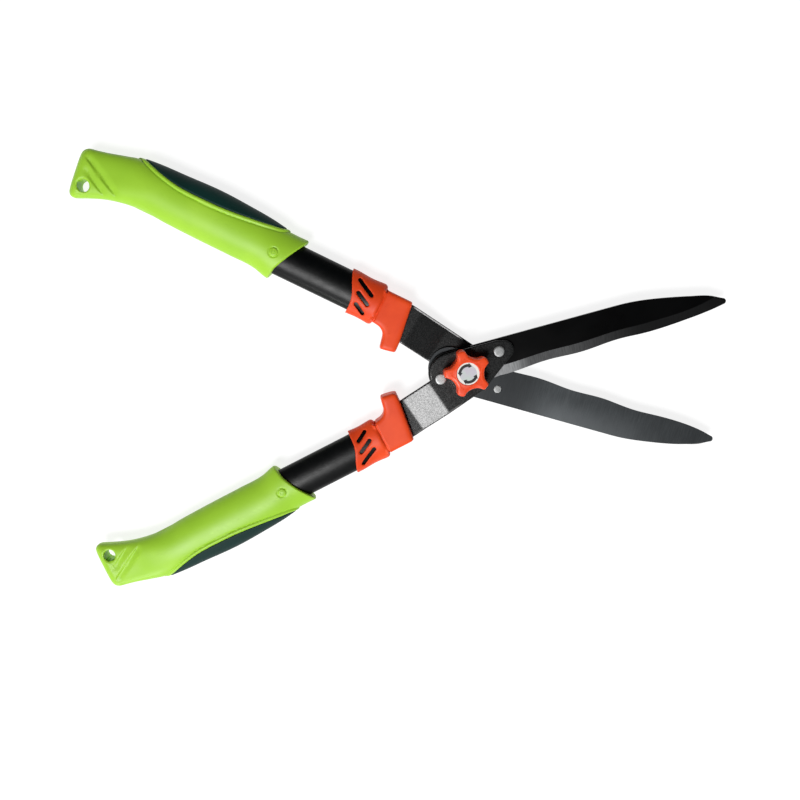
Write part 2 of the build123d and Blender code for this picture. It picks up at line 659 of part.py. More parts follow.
def make_knob():
    """Five-lobed knob, moulded round a hexagon nut, with a recess for its label disc."""
    with BuildPart() as star_knob:
        with BuildSketch(Plane.XY.offset(KNOB_Z)):
            Circle(KNOB_TIP_RADIUS)
            with PolarLocations(KNOB_VALLEY_RADIUS + KNOB_CUTTER_RADIUS, KNOB_LOBES):
                Circle(KNOB_CUTTER_RADIUS, mode=Mode.SUBTRACT)
        extrude(amount=KNOB_HEIGHT)
        fillet(star_knob.edges().filter_by(Axis.Z), KNOB_ROUND)
        fillet(star_knob.faces().sort_by(Axis.Z)[-1].edges(), KNOB_TOP_ROUND)
        fillet(star_knob.faces().sort_by(Axis.Z)[0].edges(), KNOB_FOOT_ROUND)
        with BuildSketch(Plane.XY.offset(KNOB_Z)):
            RegularPolygon(HEX_ACROSS_FLATS / 2 + FIT, 6, major_radius=False)
        extrude(amount=NUT_HEIGHT, mode=Mode.SUBTRACT)
        with BuildSketch(Plane.XY.offset(KNOB_Z)):
            Circle(BOLT_RADIUS + KNOB_BOLT_ROOM)
        extrude(amount=KNOB_HEIGHT - KNOB_CROWN, mode=Mode.SUBTRACT)
        with BuildSketch(Plane.XY.offset(KNOB_Z + KNOB_HEIGHT)):
            Circle(LABEL_RADIUS + FIT)
        extrude(amount=-LABEL_DEPTH, mode=Mode.SUBTRACT)
    save(star_knob.part, "star_knob")

    with BuildPart() as knob_nut:
        with BuildSketch(Plane.XY.offset(KNOB_Z)):
            RegularPolygon(HEX_ACROSS_FLATS / 2, 6, major_radius=False)
            Circle(BOLT_RADIUS + PIVOT_FIT, mode=Mode.SUBTRACT)
        extrude(amount=NUT_HEIGHT)
    save(knob_nut.part, "knob_nut")

    with BuildPart() as knob_label:
        with BuildSketch(Plane.XY.offset(KNOB_Z + KNOB_HEIGHT - LABEL_DEPTH)):
            Circle(LABEL_RADIUS)
        extrude(amount=LABEL_DEPTH - LABEL_SINK)
    save(knob_label.part, "knob_label")


def main():
    os.makedirs("parts", exist_ok=True)
    for arm in (BACK, FRONT):
        make_blade(arm)
        make_tang(arm)
        make_blade_rivets(arm)
        make_tube(arm)
        make_tang_plug(arm)
        make_tube_pins(arm)
        make_collar(arm)
        make_grip(arm)
        make_grip_insert(arm)
        make_grip_pin(arm)
    make_pivot_bolt()
    make_washers()
    make_knob()


main()
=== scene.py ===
"""Looks of the hedge shears: studio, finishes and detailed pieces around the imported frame.

Everything is in metres in the row frame: the pivot axis is the Z axis, the shears lie flat
on z = 0 and +X points towards the blades. Sizes are written in millimetres and scaled by MM.
"""

import json
import logging
import math
from dataclasses import dataclass, field
from enum import Enum
from typing import Optional, Sequence

import bmesh
import bpy
import numpy as np
from mathutils import Matrix, Vector


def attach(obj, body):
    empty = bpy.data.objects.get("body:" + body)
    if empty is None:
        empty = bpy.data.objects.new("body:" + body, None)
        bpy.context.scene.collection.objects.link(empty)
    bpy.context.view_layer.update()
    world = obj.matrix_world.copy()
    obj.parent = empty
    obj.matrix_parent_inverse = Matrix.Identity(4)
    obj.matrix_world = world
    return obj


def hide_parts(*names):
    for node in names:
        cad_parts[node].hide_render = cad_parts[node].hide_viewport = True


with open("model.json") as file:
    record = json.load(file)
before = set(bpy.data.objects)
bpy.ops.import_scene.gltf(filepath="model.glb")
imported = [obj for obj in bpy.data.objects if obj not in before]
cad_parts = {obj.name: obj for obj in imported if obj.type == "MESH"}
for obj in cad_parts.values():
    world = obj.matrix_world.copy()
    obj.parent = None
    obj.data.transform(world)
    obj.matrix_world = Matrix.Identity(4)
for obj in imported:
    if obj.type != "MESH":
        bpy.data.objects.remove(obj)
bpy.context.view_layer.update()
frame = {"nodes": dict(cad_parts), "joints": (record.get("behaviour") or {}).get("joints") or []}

MM = 0.001
Point = tuple[float, float]
Row = tuple[float, float, float, float]
Triple = tuple[float, float, float]
Colour = Triple
log = logging.getLogger("hedge_shears")

REST_HALF_ANGLE = 15.5      # each arm is opened by this much from the closed position, degrees
TANG_HEADING = 161.5        # headings in an arm are degrees from the blade's direction
HANDLE_HEADING = 169.0
BLADE_RIVETS = ((-21.0, 0.3), (30.0, -8.0))   # in the blade's plan, mm
PIVOT_JOINT = next(j for j in frame["joints"] if j["name"] == "shears_pivot")
SHEAR_Z = PIVOT_JOINT["pos_m"][2] / MM


class Side(Enum):
    """The two arms: BACK has its blade under the shear plane, FRONT has it above."""

    BACK = 1
    FRONT = -1

    @property
    def prefix(self) -> str:
        """Start of the arm's node names."""
        return self.name.lower()

    @property
    def body(self) -> str:
        """Name of the arm's body."""
        return f"{self.prefix}_arm"


@dataclass(frozen=True)
class ArmFrame:
    """Directions of one arm at rest, as the solid model has them."""

    side: Side

    def heading(self, angle: float) -> np.ndarray:
        """Unit vector of a heading of this arm.

        Args:
            angle: degrees in the arm, 0 along the blade.

        Returns:
            The direction in the row frame.
        """
        turned = math.radians(angle - REST_HALF_ANGLE)
        return np.array([math.cos(turned), self.side.value * math.sin(turned), 0.0])

    def place(self, along: np.ndarray, across: np.ndarray, height: np.ndarray, angle: float) -> np.ndarray:
        """Points given along and square to a heading, at a height over mid-plane.

        Args:
            along: distance along the heading, mm.
            across: distance square to it, away from the other arm, mm.
            height: height over the shear plane, positive upwards, mm.
            angle: the heading in degrees.

        Returns:
            Points in metres in the row frame, in an array that ends in 3.
        """
        forward, outward = self.heading(angle), self.heading(angle - 90.0)
        points = np.multiply.outer(along, forward) + np.multiply.outer(across, outward)
        points[..., 2] = SHEAR_Z + np.asarray(height)
        return points * MM

    def blade_place(self, x: np.ndarray, y: np.ndarray, height: np.ndarray, turn: float = 0.0) -> np.ndarray:
        """Points in the arm's blade plan: X along the blade, Y towards the cutting edge."""
        forward, edgeward = self.heading(turn), self.heading(turn + 90.0)
        points = np.multiply.outer(x, forward) + np.multiply.outer(y, edgeward)
        points[..., 2] = SHEAR_Z + np.asarray(height)
        return points * MM


# ---------------------------------------------------------------------- meshes
def smoothstep(low: float, high: float, value: np.ndarray) -> np.ndarray:
    """Cubic step from 0 at low to 1 at high."""
    t = np.clip((np.asarray(value, float) - low) / (high - low), 0.0, 1.0)
    return t * t * (3.0 - 2.0 * t)


def spline(knots: Sequence[float], values: Sequence[float], at: np.ndarray) -> np.ndarray:
    """Smooth curve through knots, with Catmull-Rom slopes.

    Args:
        knots: rising positions.
        values: value at each knot.
        at: positions to read the curve at.

    Returns:
        The curve's values.
    """
    k, v, x = np.asarray(knots, float), np.asarray(values, float), np.asarray(at, float)
    slope = np.gradient(v, k)
    i = np.clip(np.searchsorted(k, x) - 1, 0, len(k) - 2)
    width = k[i + 1] - k[i]
    t = np.clip((x - k[i]) / width, 0.0, 1.0)
    h00 = 2 * t**3 - 3 * t**2 + 1
    h10 = t**3 - 2 * t**2 + t
    h01 = -2 * t**3 + 3 * t**2
    h11 = t**3 - t**2
    return h00 * v[i] + h10 * width * slope[i] + h01 * v[i + 1] + h11 * width * slope[i + 1]


def mesh_object(
    name: str, points: np.ndarray, faces: Sequence[Sequence[int]], smooth: bool = True,
) -> bpy.types.Object:
    """Object at the origin with the given points and faces, normals made outward.

    Args:
        name: the piece's name.
        points: vertex places in metres.
        faces: vertex numbers of each face.
        smooth: whether its faces are shaded smooth.

    Returns:
        The new object, linked to the scene.
    """
    mesh = bpy.data.meshes.new(name)
    mesh.from_pydata([tuple(p) for p in np.asarray(points).reshape(-1, 3)], [], [tuple(f) for f in faces])
    work = bmesh.new()
    work.from_mesh(mesh)
    bmesh.ops.remove_doubles(work, verts=work.verts, dist=1e-7)
    bmesh.ops.recalc_face_normals(work, faces=work.faces)
    work.to_mesh(mesh)
    work.free()
    mesh.polygons.foreach_set("use_smooth", [smooth] * len(mesh.polygons))
    piece = bpy.data.objects.new(name, mesh)
    bpy.context.scene.collection.objects.link(piece)
    return piece


def ring_faces(rings: int, around: int) -> list[tuple[int, ...]]:
    """Quads that join rings of points one after another, each ring closed."""
    faces = []
    for r in range(rings - 1):
        for a in range(around):
            b = (a + 1) % around
            faces.append((r * around + a, r * around + b, (r + 1) * around + b, (r + 1) * around + a))
    return faces


def cap_faces(start: int, around: int) -> list[tuple[int, ...]]:
    """Quads that close a ring by joining its two halves."""
    faces = []
    for a in range(around // 2):
        b, c, d = a + 1, around - 1 - a, (around - a) % around
        quad = [start + a, start + b, start + c, start + d]
        unique = list(dict.fromkeys(quad))
        if len(unique) > 2:
            faces.append(tuple(unique))
    return faces


# ---------------------------------------------------------------------- finishes
class Shader:
    """One material under construction, with short calls for the nodes that it needs."""

    def __init__(self, name: str) -> None:
        """Start a material with a Principled shader.

        Args:
            name: the material's name.
        """
        self.material = bpy.data.materials.new(name)
        self.material.use_nodes = True
        self.tree = self.material.node_tree
        self.surface = self.tree.nodes.get("Principled BSDF") or self._surface()
        self.coords = self.tree.nodes.new("ShaderNodeTexCoord").outputs["Object"]

    def _surface(self) -> bpy.types.Node:
        """Principled shader wired to the output, for a tree that starts empty."""
        surface = self.tree.nodes.new("ShaderNodeBsdfPrincipled")
        output = self.tree.nodes.new("ShaderNodeOutputMaterial")
        self.tree.links.new(surface.outputs[0], output.inputs[0])
        return surface

    def set(self, **values: object) -> None:
        """Set or link the Principled shader's sockets; underscores stand for spaces."""
        for key, value in values.items():
            self.feed(self.surface.inputs[key.replace("_", " ")], value)

    def feed(self, socket: bpy.types.NodeSocket, value: object) -> None:
        """Link a socket if the value is one, or else set its default."""
        if isinstance(value, bpy.types.NodeSocket):
            self.tree.links.new(value, socket)
        elif isinstance(value, tuple) and len(value) == 3 and socket.type == "RGBA":
            socket.default_value = (*value, 1.0)
        else:
            socket.default_value = value

    def math(self, operation: str, *values: object) -> bpy.types.NodeSocket:
        """Math node."""
        node = self.tree.nodes.new("ShaderNodeMath")
        node.operation = operation
        for socket, value in zip(node.inputs, values):
            self.feed(socket, value)
        return node.outputs[0]

    def step(self, value: object, low: float, high: float) -> bpy.types.NodeSocket:
        """Smooth 0 to 1 step as the value goes from low to high."""
        node = self.tree.nodes.new("ShaderNodeMapRange")
        node.interpolation_type = "SMOOTHSTEP"
        self.feed(node.inputs["Value"], value)
        node.inputs["From Min"].default_value = low
        node.inputs["From Max"].default_value = high
        return node.outputs["Result"]

    def mix(self, factor: object, low: object, high: object) -> bpy.types.NodeSocket:
        """Colour mix from low to high."""
        node = self.tree.nodes.new("ShaderNodeMix")
        node.data_type = "RGBA"
        self.feed(node.inputs["Factor"], factor)
        self.feed(node.inputs["A"] if node.inputs["A"].type == "RGBA" else node.inputs[6], low)
        self.feed(node.inputs["B"] if node.inputs["B"].type == "RGBA" else node.inputs[7], high)
        return node.outputs[2]

    def blend(self, factor: object, low: object, high: object) -> bpy.types.NodeSocket:
        """Number mix from low to high."""
        node = self.tree.nodes.new("ShaderNodeMix")
        node.data_type = "FLOAT"
        self.feed(node.inputs[0], factor)
        self.feed(node.inputs[2], low)
        self.feed(node.inputs[3], high)
        return node.outputs[0]

    def mapped(self, scale: tuple[float, float, float], turn: float = 0.0) -> bpy.types.NodeSocket:
        """Object coordinates, turned about Z and then scaled by axis."""
        turned = self.tree.nodes.new("ShaderNodeMapping")
        turned.vector_type = "POINT"
        turned.inputs["Rotation"].default_value = (0.0, 0.0, turn)
        self.tree.links.new(self.coords, turned.inputs["Vector"])
        scaled = self.tree.nodes.new("ShaderNodeVectorMath")
        scaled.operation = "MULTIPLY"
        scaled.inputs[1].default_value = scale
        self.tree.links.new(turned.outputs[0], scaled.inputs[0])
        return scaled.outputs[0]

    def noise(
        self, scale: float, detail: float = 3.0, rough: float = 0.5,
        at: Optional[bpy.types.NodeSocket] = None,
    ) -> bpy.types.NodeSocket:
        """Noise from 0 to 1; scale is in features per metre."""
        node = self.tree.nodes.new("ShaderNodeTexNoise")
        node.inputs["Scale"].default_value = scale
        node.inputs["Detail"].default_value = detail
        node.inputs["Roughness"].default_value = rough
        self.feed(node.inputs["Vector"], at if at is not None else self.coords)
        return node.outputs["Fac"]

    def cells(self, scale: float) -> bpy.types.NodeSocket:
        """Distance to the nearest cell centre of a random pattern."""
        node = self.tree.nodes.new("ShaderNodeTexVoronoi")
        node.inputs["Scale"].default_value = scale
        self.tree.links.new(self.coords, node.inputs["Vector"])
        return node.outputs["Distance"]

    def dot(
        self, direction: Sequence[float], vector: Optional[bpy.types.NodeSocket] = None,
    ) -> bpy.types.NodeSocket:
        """Part of a vector, or else of the object coordinates, along a direction."""
        node = self.tree.nodes.new("ShaderNodeVectorMath")
        node.operation = "DOT_PRODUCT"
        node.inputs[1].default_value = tuple(direction)
        self.tree.links.new(vector if vector is not None else self.coords, node.inputs[0])
        return node.outputs["Value"]

    def normal_z(self) -> bpy.types.NodeSocket:
        """How far the face itself faces up: 1 on a level top, -1 underneath."""
        geometry = self.tree.nodes.new("ShaderNodeNewGeometry")
        return self.dot((0.0, 0.0, 1.0), geometry.outputs["True Normal"])

    def away(self, x: float, y: float) -> bpy.types.NodeSocket:
        """Distance in plan from an upright axis, in metres."""
        shifted = self.tree.nodes.new("ShaderNodeVectorMath")
        shifted.operation = "MULTIPLY_ADD"
        shifted.inputs[1].default_value = (1.0, 1.0, 0.0)
        shifted.inputs[2].default_value = (-x, -y, 0.0)
        self.tree.links.new(self.coords, shifted.inputs[0])
        length = self.tree.nodes.new("ShaderNodeVectorMath")
        length.operation = "LENGTH"
        self.tree.links.new(shifted.outputs[0], length.inputs[0])
        return length.outputs["Value"]

    def bump(self, height: object, strength: float, distance: float) -> None:
        """Bump on the surface; calls add up."""
        node = self.tree.nodes.new("ShaderNodeBump")
        node.inputs["Strength"].default_value = strength
        node.inputs["Distance"].default_value = distance
        self.feed(node.inputs["Height"], height)
        held = self.surface.inputs["Normal"].links
        if held:
            self.tree.links.new(held[0].from_socket, node.inputs["Normal"])
        self.tree.links.new(node.outputs[0], self.surface.inputs["Normal"])


@dataclass(frozen=True)
class MouldedPlastic:
    """Injection-moulded plastic: a slight mottle, darker specks and a fine grain."""

    name: str
    colour: Colour
    shade: Colour
    roughness: float
    texture: float
    grain: float = 900.0
    shine: float = 0.5

    def build(self) -> bpy.types.Material:
        """Make the material."""
        shader = Shader(self.name)
        mottle = shader.noise(26.0, 4.0, 0.55)
        colour = shader.mix(shader.step(mottle, 0.35, 0.7), self.shade, self.colour)
        speck = shader.step(shader.noise(self.grain * 1.7, 2.0), 0.62, 0.75)
        colour = shader.mix(shader.math("MULTIPLY", speck, 0.10), colour, self.shade)
        shader.set(Base_Color=colour, IOR=1.49, Specular_IOR_Level=self.shine)
        rough = shader.math("MULTIPLY_ADD", shader.noise(60.0, 3.0), 0.12, self.roughness - 0.06)
        shader.set(Roughness=rough)
        shader.bump(shader.noise(self.grain, 4.0, 0.6), self.texture, 0.00012)
        shader.bump(shader.noise(90.0, 2.0), 0.05, 0.0004)
        return shader.material


@dataclass(frozen=True)
class PowderCoat:
    """Black baked coat: fine orange peel, sparks of metallic grain and duller clouds."""

    name: str
    colour: Colour
    roughness: float
    peel: float
    grain: float
    sparkle: float
    shine: float = 0.4

    def build(self) -> bpy.types.Material:
        """Make the material."""
        shader = Shader(self.name)
        spark = shader.step(shader.cells(self.grain), 0.30, 0.12)
        bright = tuple(min(1.0, c * 3.0 + 0.06) for c in self.colour)
        colour = shader.mix(shader.math("MULTIPLY", spark, self.sparkle), self.colour, bright)
        cloud = shader.step(shader.noise(45.0, 4.0), 0.3, 0.75)
        dark = tuple(c * 0.6 for c in self.colour)
        shader.set(Base_Color=shader.mix(shader.math("MULTIPLY", cloud, 0.35), colour, dark))
        wander = shader.noise(160.0, 3.0)
        shader.set(Roughness=shader.math("MULTIPLY_ADD", wander, 0.16, self.roughness - 0.08))
        shader.set(IOR=1.5, Specular_IOR_Level=self.shine)
        shader.bump(shader.noise(self.grain * 0.6, 4.0, 0.65), self.peel, 0.0001)
        return shader.material


@dataclass(frozen=True)
class GroundSteel:
    """Ground or brushed steel, with streaks along one direction."""

    name: str
    colour: Colour
    roughness: float
    turn: float             # angle of the streaks about Z, radians
    streak: float
    stain: float = 0.3

    def build(self) -> bpy.types.Material:
        """Make the material."""
        shader = Shader(self.name)
        streaks = shader.noise(1.0, 5.0, 0.6, at=shader.mapped((2600.0, 60.0, 60.0), self.turn))
        dark = tuple(c * 0.62 for c in self.colour)
        colour = shader.mix(shader.step(streaks, 0.3, 0.75), dark, self.colour)
        patches = shader.step(shader.noise(520.0, 5.0, 0.6), 0.46, 0.60)
        colour = shader.mix(shader.math("MULTIPLY", patches, self.stain), colour, dark)
        shader.set(Base_Color=colour, Metallic=1.0)
        shader.set(Roughness=shader.math("MULTIPLY_ADD", streaks, 0.18, self.roughness - 0.09))
        shader.bump(streaks, self.streak, 0.00006)
        return shader.material


@dataclass(frozen=True)
class BladeFinish:
    """One blade: black coat outside, ground bevel, and a burnished shear face with a painted sheen band near
    its spine and painted shade at its root.

    Reaches are metres from the pivot along the blade.
    """

    side: Side
    coat: Colour = (0.0008, 0.0008, 0.0009)
    coat_wear: Colour = (0.05, 0.05, 0.055)
    ground: Colour = (0.62, 0.63, 0.64)
    ground_streak: Colour = (0.02, 0.02, 0.021)
    burnished: Colour = (0.105, 0.115, 0.122)
    burnished_cloud: Colour = (0.15, 0.16, 0.165)
    # painted sheen: a reflection band painted near the spine of the shear face
    painted_sheen: Colour = (0.20, 0.215, 0.225)
    # painted shade: darker colour on the shear face's root, near the pivot
    root: Colour = (0.036, 0.038, 0.040)
    land: Colour = (0.34, 0.35, 0.36)

    @property
    def name(self) -> str:
        """Name of the material."""
        return f"{self.side.prefix}_blade_finish"

    def build(self) -> bpy.types.Material:
        """Make the material."""
        shader = Shader(self.name)
        forward = ArmFrame(self.side).heading(0.0)
        turn = -math.atan2(forward[1], forward[0])
        reach, edgeward = shader.dot(forward), shader.dot(ArmFrame(self.side).heading(90.0))
        facing = shader.math("MULTIPLY", shader.normal_z(), -float(self.side.value))
        outside = shader.step(facing, 0.972, 0.985)
        bevel = shader.math("SUBTRACT", shader.step(facing, 0.85, 0.9), outside)
        shear = shader.step(facing, -0.85, -0.95)
        upright = shader.step(shader.math("ABSOLUTE", facing), 0.5, 0.2)
        land = shader.math("MULTIPLY", upright, shader.step(edgeward, 0.004, 0.010))
        fine = shader.noise(1.0, 4.0, 0.6, at=shader.mapped((1500.0, 90.0, 90.0), turn))
        broad = shader.noise(1.0, 3.0, 0.5, at=shader.mapped((260.0, 26.0, 26.0), turn))
        worn = shader.step(shader.noise(420.0, 4.0, 0.65), 0.70, 0.80)
        colour = shader.mix(shader.math("MULTIPLY", worn, 0.06), self.coat, self.coat_wear)
        colour = shader.mix(bevel, colour, self.bevel_colour(shader, reach, fine))
        colour = shader.mix(shear, colour, self.shear_colour(shader, reach, edgeward, fine, broad))
        colour = shader.mix(land, colour, self.land)
        bare = shader.math("MAXIMUM", bevel, land)
        metal = shader.math("MAXIMUM", bare, shader.math("MULTIPLY", shear, 0.85))
        shader.set(Base_Color=colour, Metallic=metal, Specular_IOR_Level=0.22)
        cloud = shader.noise(38.0, 4.0, 0.6)
        base = shader.blend(shear, shader.blend(bare, 0.30, 0.33), 0.40)
        shader.set(Roughness=shader.math("MULTIPLY_ADD", cloud, 0.14, shader.math("SUBTRACT", base, 0.07)))
        shader.bump(shader.math("MULTIPLY", fine, shader.math("MAXIMUM", bare, shear)), 0.30, 0.00006)
        shader.bump(shader.noise(2600.0, 3.0, 0.6), 0.07, 0.00006)
        return shader.material

    def bevel_colour(
        self, shader: Shader, reach: bpy.types.NodeSocket, fine: bpy.types.NodeSocket,
    ) -> bpy.types.NodeSocket:
        """Ground bevel, which dulls in two steps away from the pivot."""
        middle, far = (tuple(c * share for c in self.ground) for share in (0.32, 0.05))
        colour = shader.mix(shader.step(reach, 0.036, 0.054), self.ground, middle)
        colour = shader.mix(shader.step(reach, 0.070, 0.150), colour, far)
        streaks = shader.math("MULTIPLY", shader.step(fine, 0.35, 0.7), 0.35)
        return shader.mix(streaks, colour, self.ground_streak)

    def shear_colour(
        self, shader: Shader, reach: bpy.types.NodeSocket, edgeward: bpy.types.NodeSocket,
        fine: bpy.types.NodeSocket, broad: bpy.types.NodeSocket,
    ) -> bpy.types.NodeSocket:
        """Burnished shear face, with a painted sheen band near its spine and painted shade at its root."""
        dull = tuple(c * 0.78 for c in self.burnished)
        colour = shader.mix(shader.step(fine, 0.35, 0.72), dull, self.burnished)
        clouds = shader.math("MULTIPLY", shader.step(broad, 0.5, 0.75), 0.22)
        colour = shader.mix(clouds, colour, self.burnished_cloud)
        # painted sheen band near the spine, between two reaches from the pivot
        sheen_band = shader.math("MULTIPLY", shader.step(edgeward, 0.002, -0.020), shader.step(reach, 0.025, 0.095))
        sheen_band = shader.math("MULTIPLY", sheen_band, shader.step(reach, 0.185, 0.120))
        colour = shader.mix(shader.math("MULTIPLY", sheen_band, 0.75), colour, self.painted_sheen)
        # painted shade darkening the root of the shear face near the pivot
        root = shader.step(reach, 0.085, 0.040)
        return shader.mix(shader.math("MULTIPLY", root, 0.8), colour, self.root)


@dataclass(frozen=True)
class TangFinish:
    """Tang plate: grainy black coat, a painted highlight line by its outer edge and dark rings round the
    rivets.
    """

    side: Side
    coat: Colour = (0.0078, 0.0085, 0.0088)
    spark: Colour = (0.075, 0.077, 0.08)
    seat: Colour = (0.0008, 0.0008, 0.0009)
    # painted highlight of the plate's rounded outer edge
    line: Colour = (0.80, 0.80, 0.80)
    line_place: float = 0.0199      # metres square to the tang's heading
    line_wander: float = 0.00045
    front_highlight_share: float = 0.15
    ring: Point = (0.0056, 0.0050)

    @property
    def name(self) -> str:
        """Name of the material."""
        return f"{self.side.prefix}_tang_finish"

    def build(self) -> bpy.types.Material:
        """Make the material."""
        shader = Shader(self.name)
        arm = ArmFrame(self.side)
        sparks = shader.math("MULTIPLY", shader.step(shader.cells(1500.0), 0.34, 0.10), 0.22)
        colour = shader.mix(sparks, self.coat, self.spark)
        cloud = shader.step(shader.noise(60.0, 4.0, 0.6), 0.35, 0.75)
        colour = shader.mix(shader.math("MULTIPLY", cloud, 0.4), colour, tuple(c * 0.6 for c in self.coat))
        for x, y in BLADE_RIVETS:
            spot = arm.blade_place(np.array(x), np.array(y), np.array(0.0))
            colour = shader.mix(shader.step(shader.away(spot[0], spot[1]), *self.ring), colour, self.seat)
        # painted highlight line by the outer edge of the plate
        line = self.highlight_line_mask(shader, arm)
        colour = shader.mix(line, colour, self.line)
        shader.set(Base_Color=colour, Metallic=shader.math("MULTIPLY", line, 0.5), IOR=1.5)
        wear = shader.math("MULTIPLY_ADD", shader.step(shader.noise(850.0, 3.0), 0.35, 0.65), 0.08, 0.24)
        shader.set(Roughness=wear)
        shader.bump(shader.noise(800.0, 5.0, 0.75), 0.22, 0.00012)
        shader.bump(shader.noise(3200.0, 2.0, 0.6), 0.25, 0.00005)
        return shader.material

    def highlight_line_mask(self, shader: Shader, arm: ArmFrame) -> bpy.types.NodeSocket:
        """Thin wandering painted highlight line on the upper face, faint on the front arm."""
        across = shader.dot(arm.heading(TANG_HEADING - 90.0))
        offset = shader.math("ABSOLUTE", shader.math("SUBTRACT", across, self.line_place))
        wander = shader.math("MULTIPLY", shader.noise(180.0, 3.0), self.line_wander)
        line = shader.step(shader.math("SUBTRACT", offset, wander), 0.00042, 0.00008)
        reach = shader.dot(arm.heading(TANG_HEADING))
        span = shader.math("MULTIPLY", shader.step(reach, 0.014, 0.022), shader.step(reach, 0.064, 0.059))
        upward = shader.step(shader.normal_z(), 0.5, 0.8)
        line = shader.math("MULTIPLY", line, shader.math("MULTIPLY", span, upward))
        if self.side is Side.FRONT:
            line = shader.math("MULTIPLY", line, self.front_highlight_share)
        return line


@dataclass(frozen=True)
class LabelFinish:
    """Glossy label: white rim and a pale field that shifts in tone."""

    name: str = "knob_label_finish"
    field_radius: float = 0.0069

    def build(self) -> bpy.types.Material:
        """Make the material."""
        shader = Shader(self.name)
        inside = shader.step(shader.away(0.0, 0.0), self.field_radius + 0.0002, self.field_radius - 0.0002)
        tone = shader.step(shader.noise(140.0, 2.0), 0.35, 0.7)
        field_colour = shader.mix(tone, (0.60, 0.56, 0.63), (0.57, 0.64, 0.60))
        speck = shader.step(shader.noise(900.0, 3.0), 0.6, 0.75)
        field_colour = shader.mix(shader.math("MULTIPLY", speck, 0.25), field_colour, (0.85, 0.84, 0.86))
        shader.set(Base_Color=shader.mix(inside, (0.88, 0.84, 0.79), field_colour))
        shader.set(Roughness=shader.math("MULTIPLY_ADD", speck, 0.1, 0.24), IOR=1.48)
        shader.bump(shader.noise(500.0, 2.0), 0.08, 0.0001)
        return shader.material


class Rack:
    """All the finishes, each made once."""

    LIME = MouldedPlastic(
        "lime_plastic", (0.355, 0.640, 0.036), (0.315, 0.590, 0.030), 0.42, 0.10, shine=0.38)
    SOFT_STRIP = MouldedPlastic(
        "soft_strip", (0.0012, 0.030, 0.025), (0.0008, 0.022, 0.018), 0.60, 0.22, 1500.0, shine=0.25)
    ORANGE = MouldedPlastic(
        "orange_plastic", (0.84, 0.082, 0.016), (0.72, 0.056, 0.010), 0.42, 0.10, shine=0.22)
    KNOB = MouldedPlastic(
        "knob_plastic", (0.90, 0.082, 0.016), (0.80, 0.060, 0.011), 0.34, 0.08, shine=0.4)
    NYLON = MouldedPlastic("nylon", (0.62, 0.60, 0.54), (0.54, 0.52, 0.46), 0.5, 0.1)
    LABEL = LabelFinish()
    INK = MouldedPlastic("label_ink", (0.006, 0.006, 0.007), (0.004, 0.004, 0.005), 0.5, 0.03)
    TUBE = PowderCoat("tube_coat", (0.0012, 0.0016, 0.0018), 0.36, 0.06, 2600.0, 0.02, shine=0.20)
    RIVET = GroundSteel("rivet_steel", (0.46, 0.47, 0.47), 0.50, 0.6, 0.25, 0.9)
    ZINC = GroundSteel("zinc_plate", (0.66, 0.67, 0.64), 0.32, 1.1, 0.2)
    SPRING = GroundSteel("spring_steel", (0.22, 0.22, 0.23), 0.42, 0.3, 0.2)

    _made: dict[str, bpy.types.Material] = {}

    @classmethod
    def get(cls, finish: object) -> bpy.types.Material:
        """The finish's material, made when first asked for."""
        if finish.name not in cls._made:
            cls._made[finish.name] = finish.build()
        return cls._made[finish.name]


def dress(piece: bpy.types.Object, finish: object) -> None:
    """Give a piece one finish all over."""
    piece.data.materials.clear()
    piece.data.materials.append(Rack.get(finish))


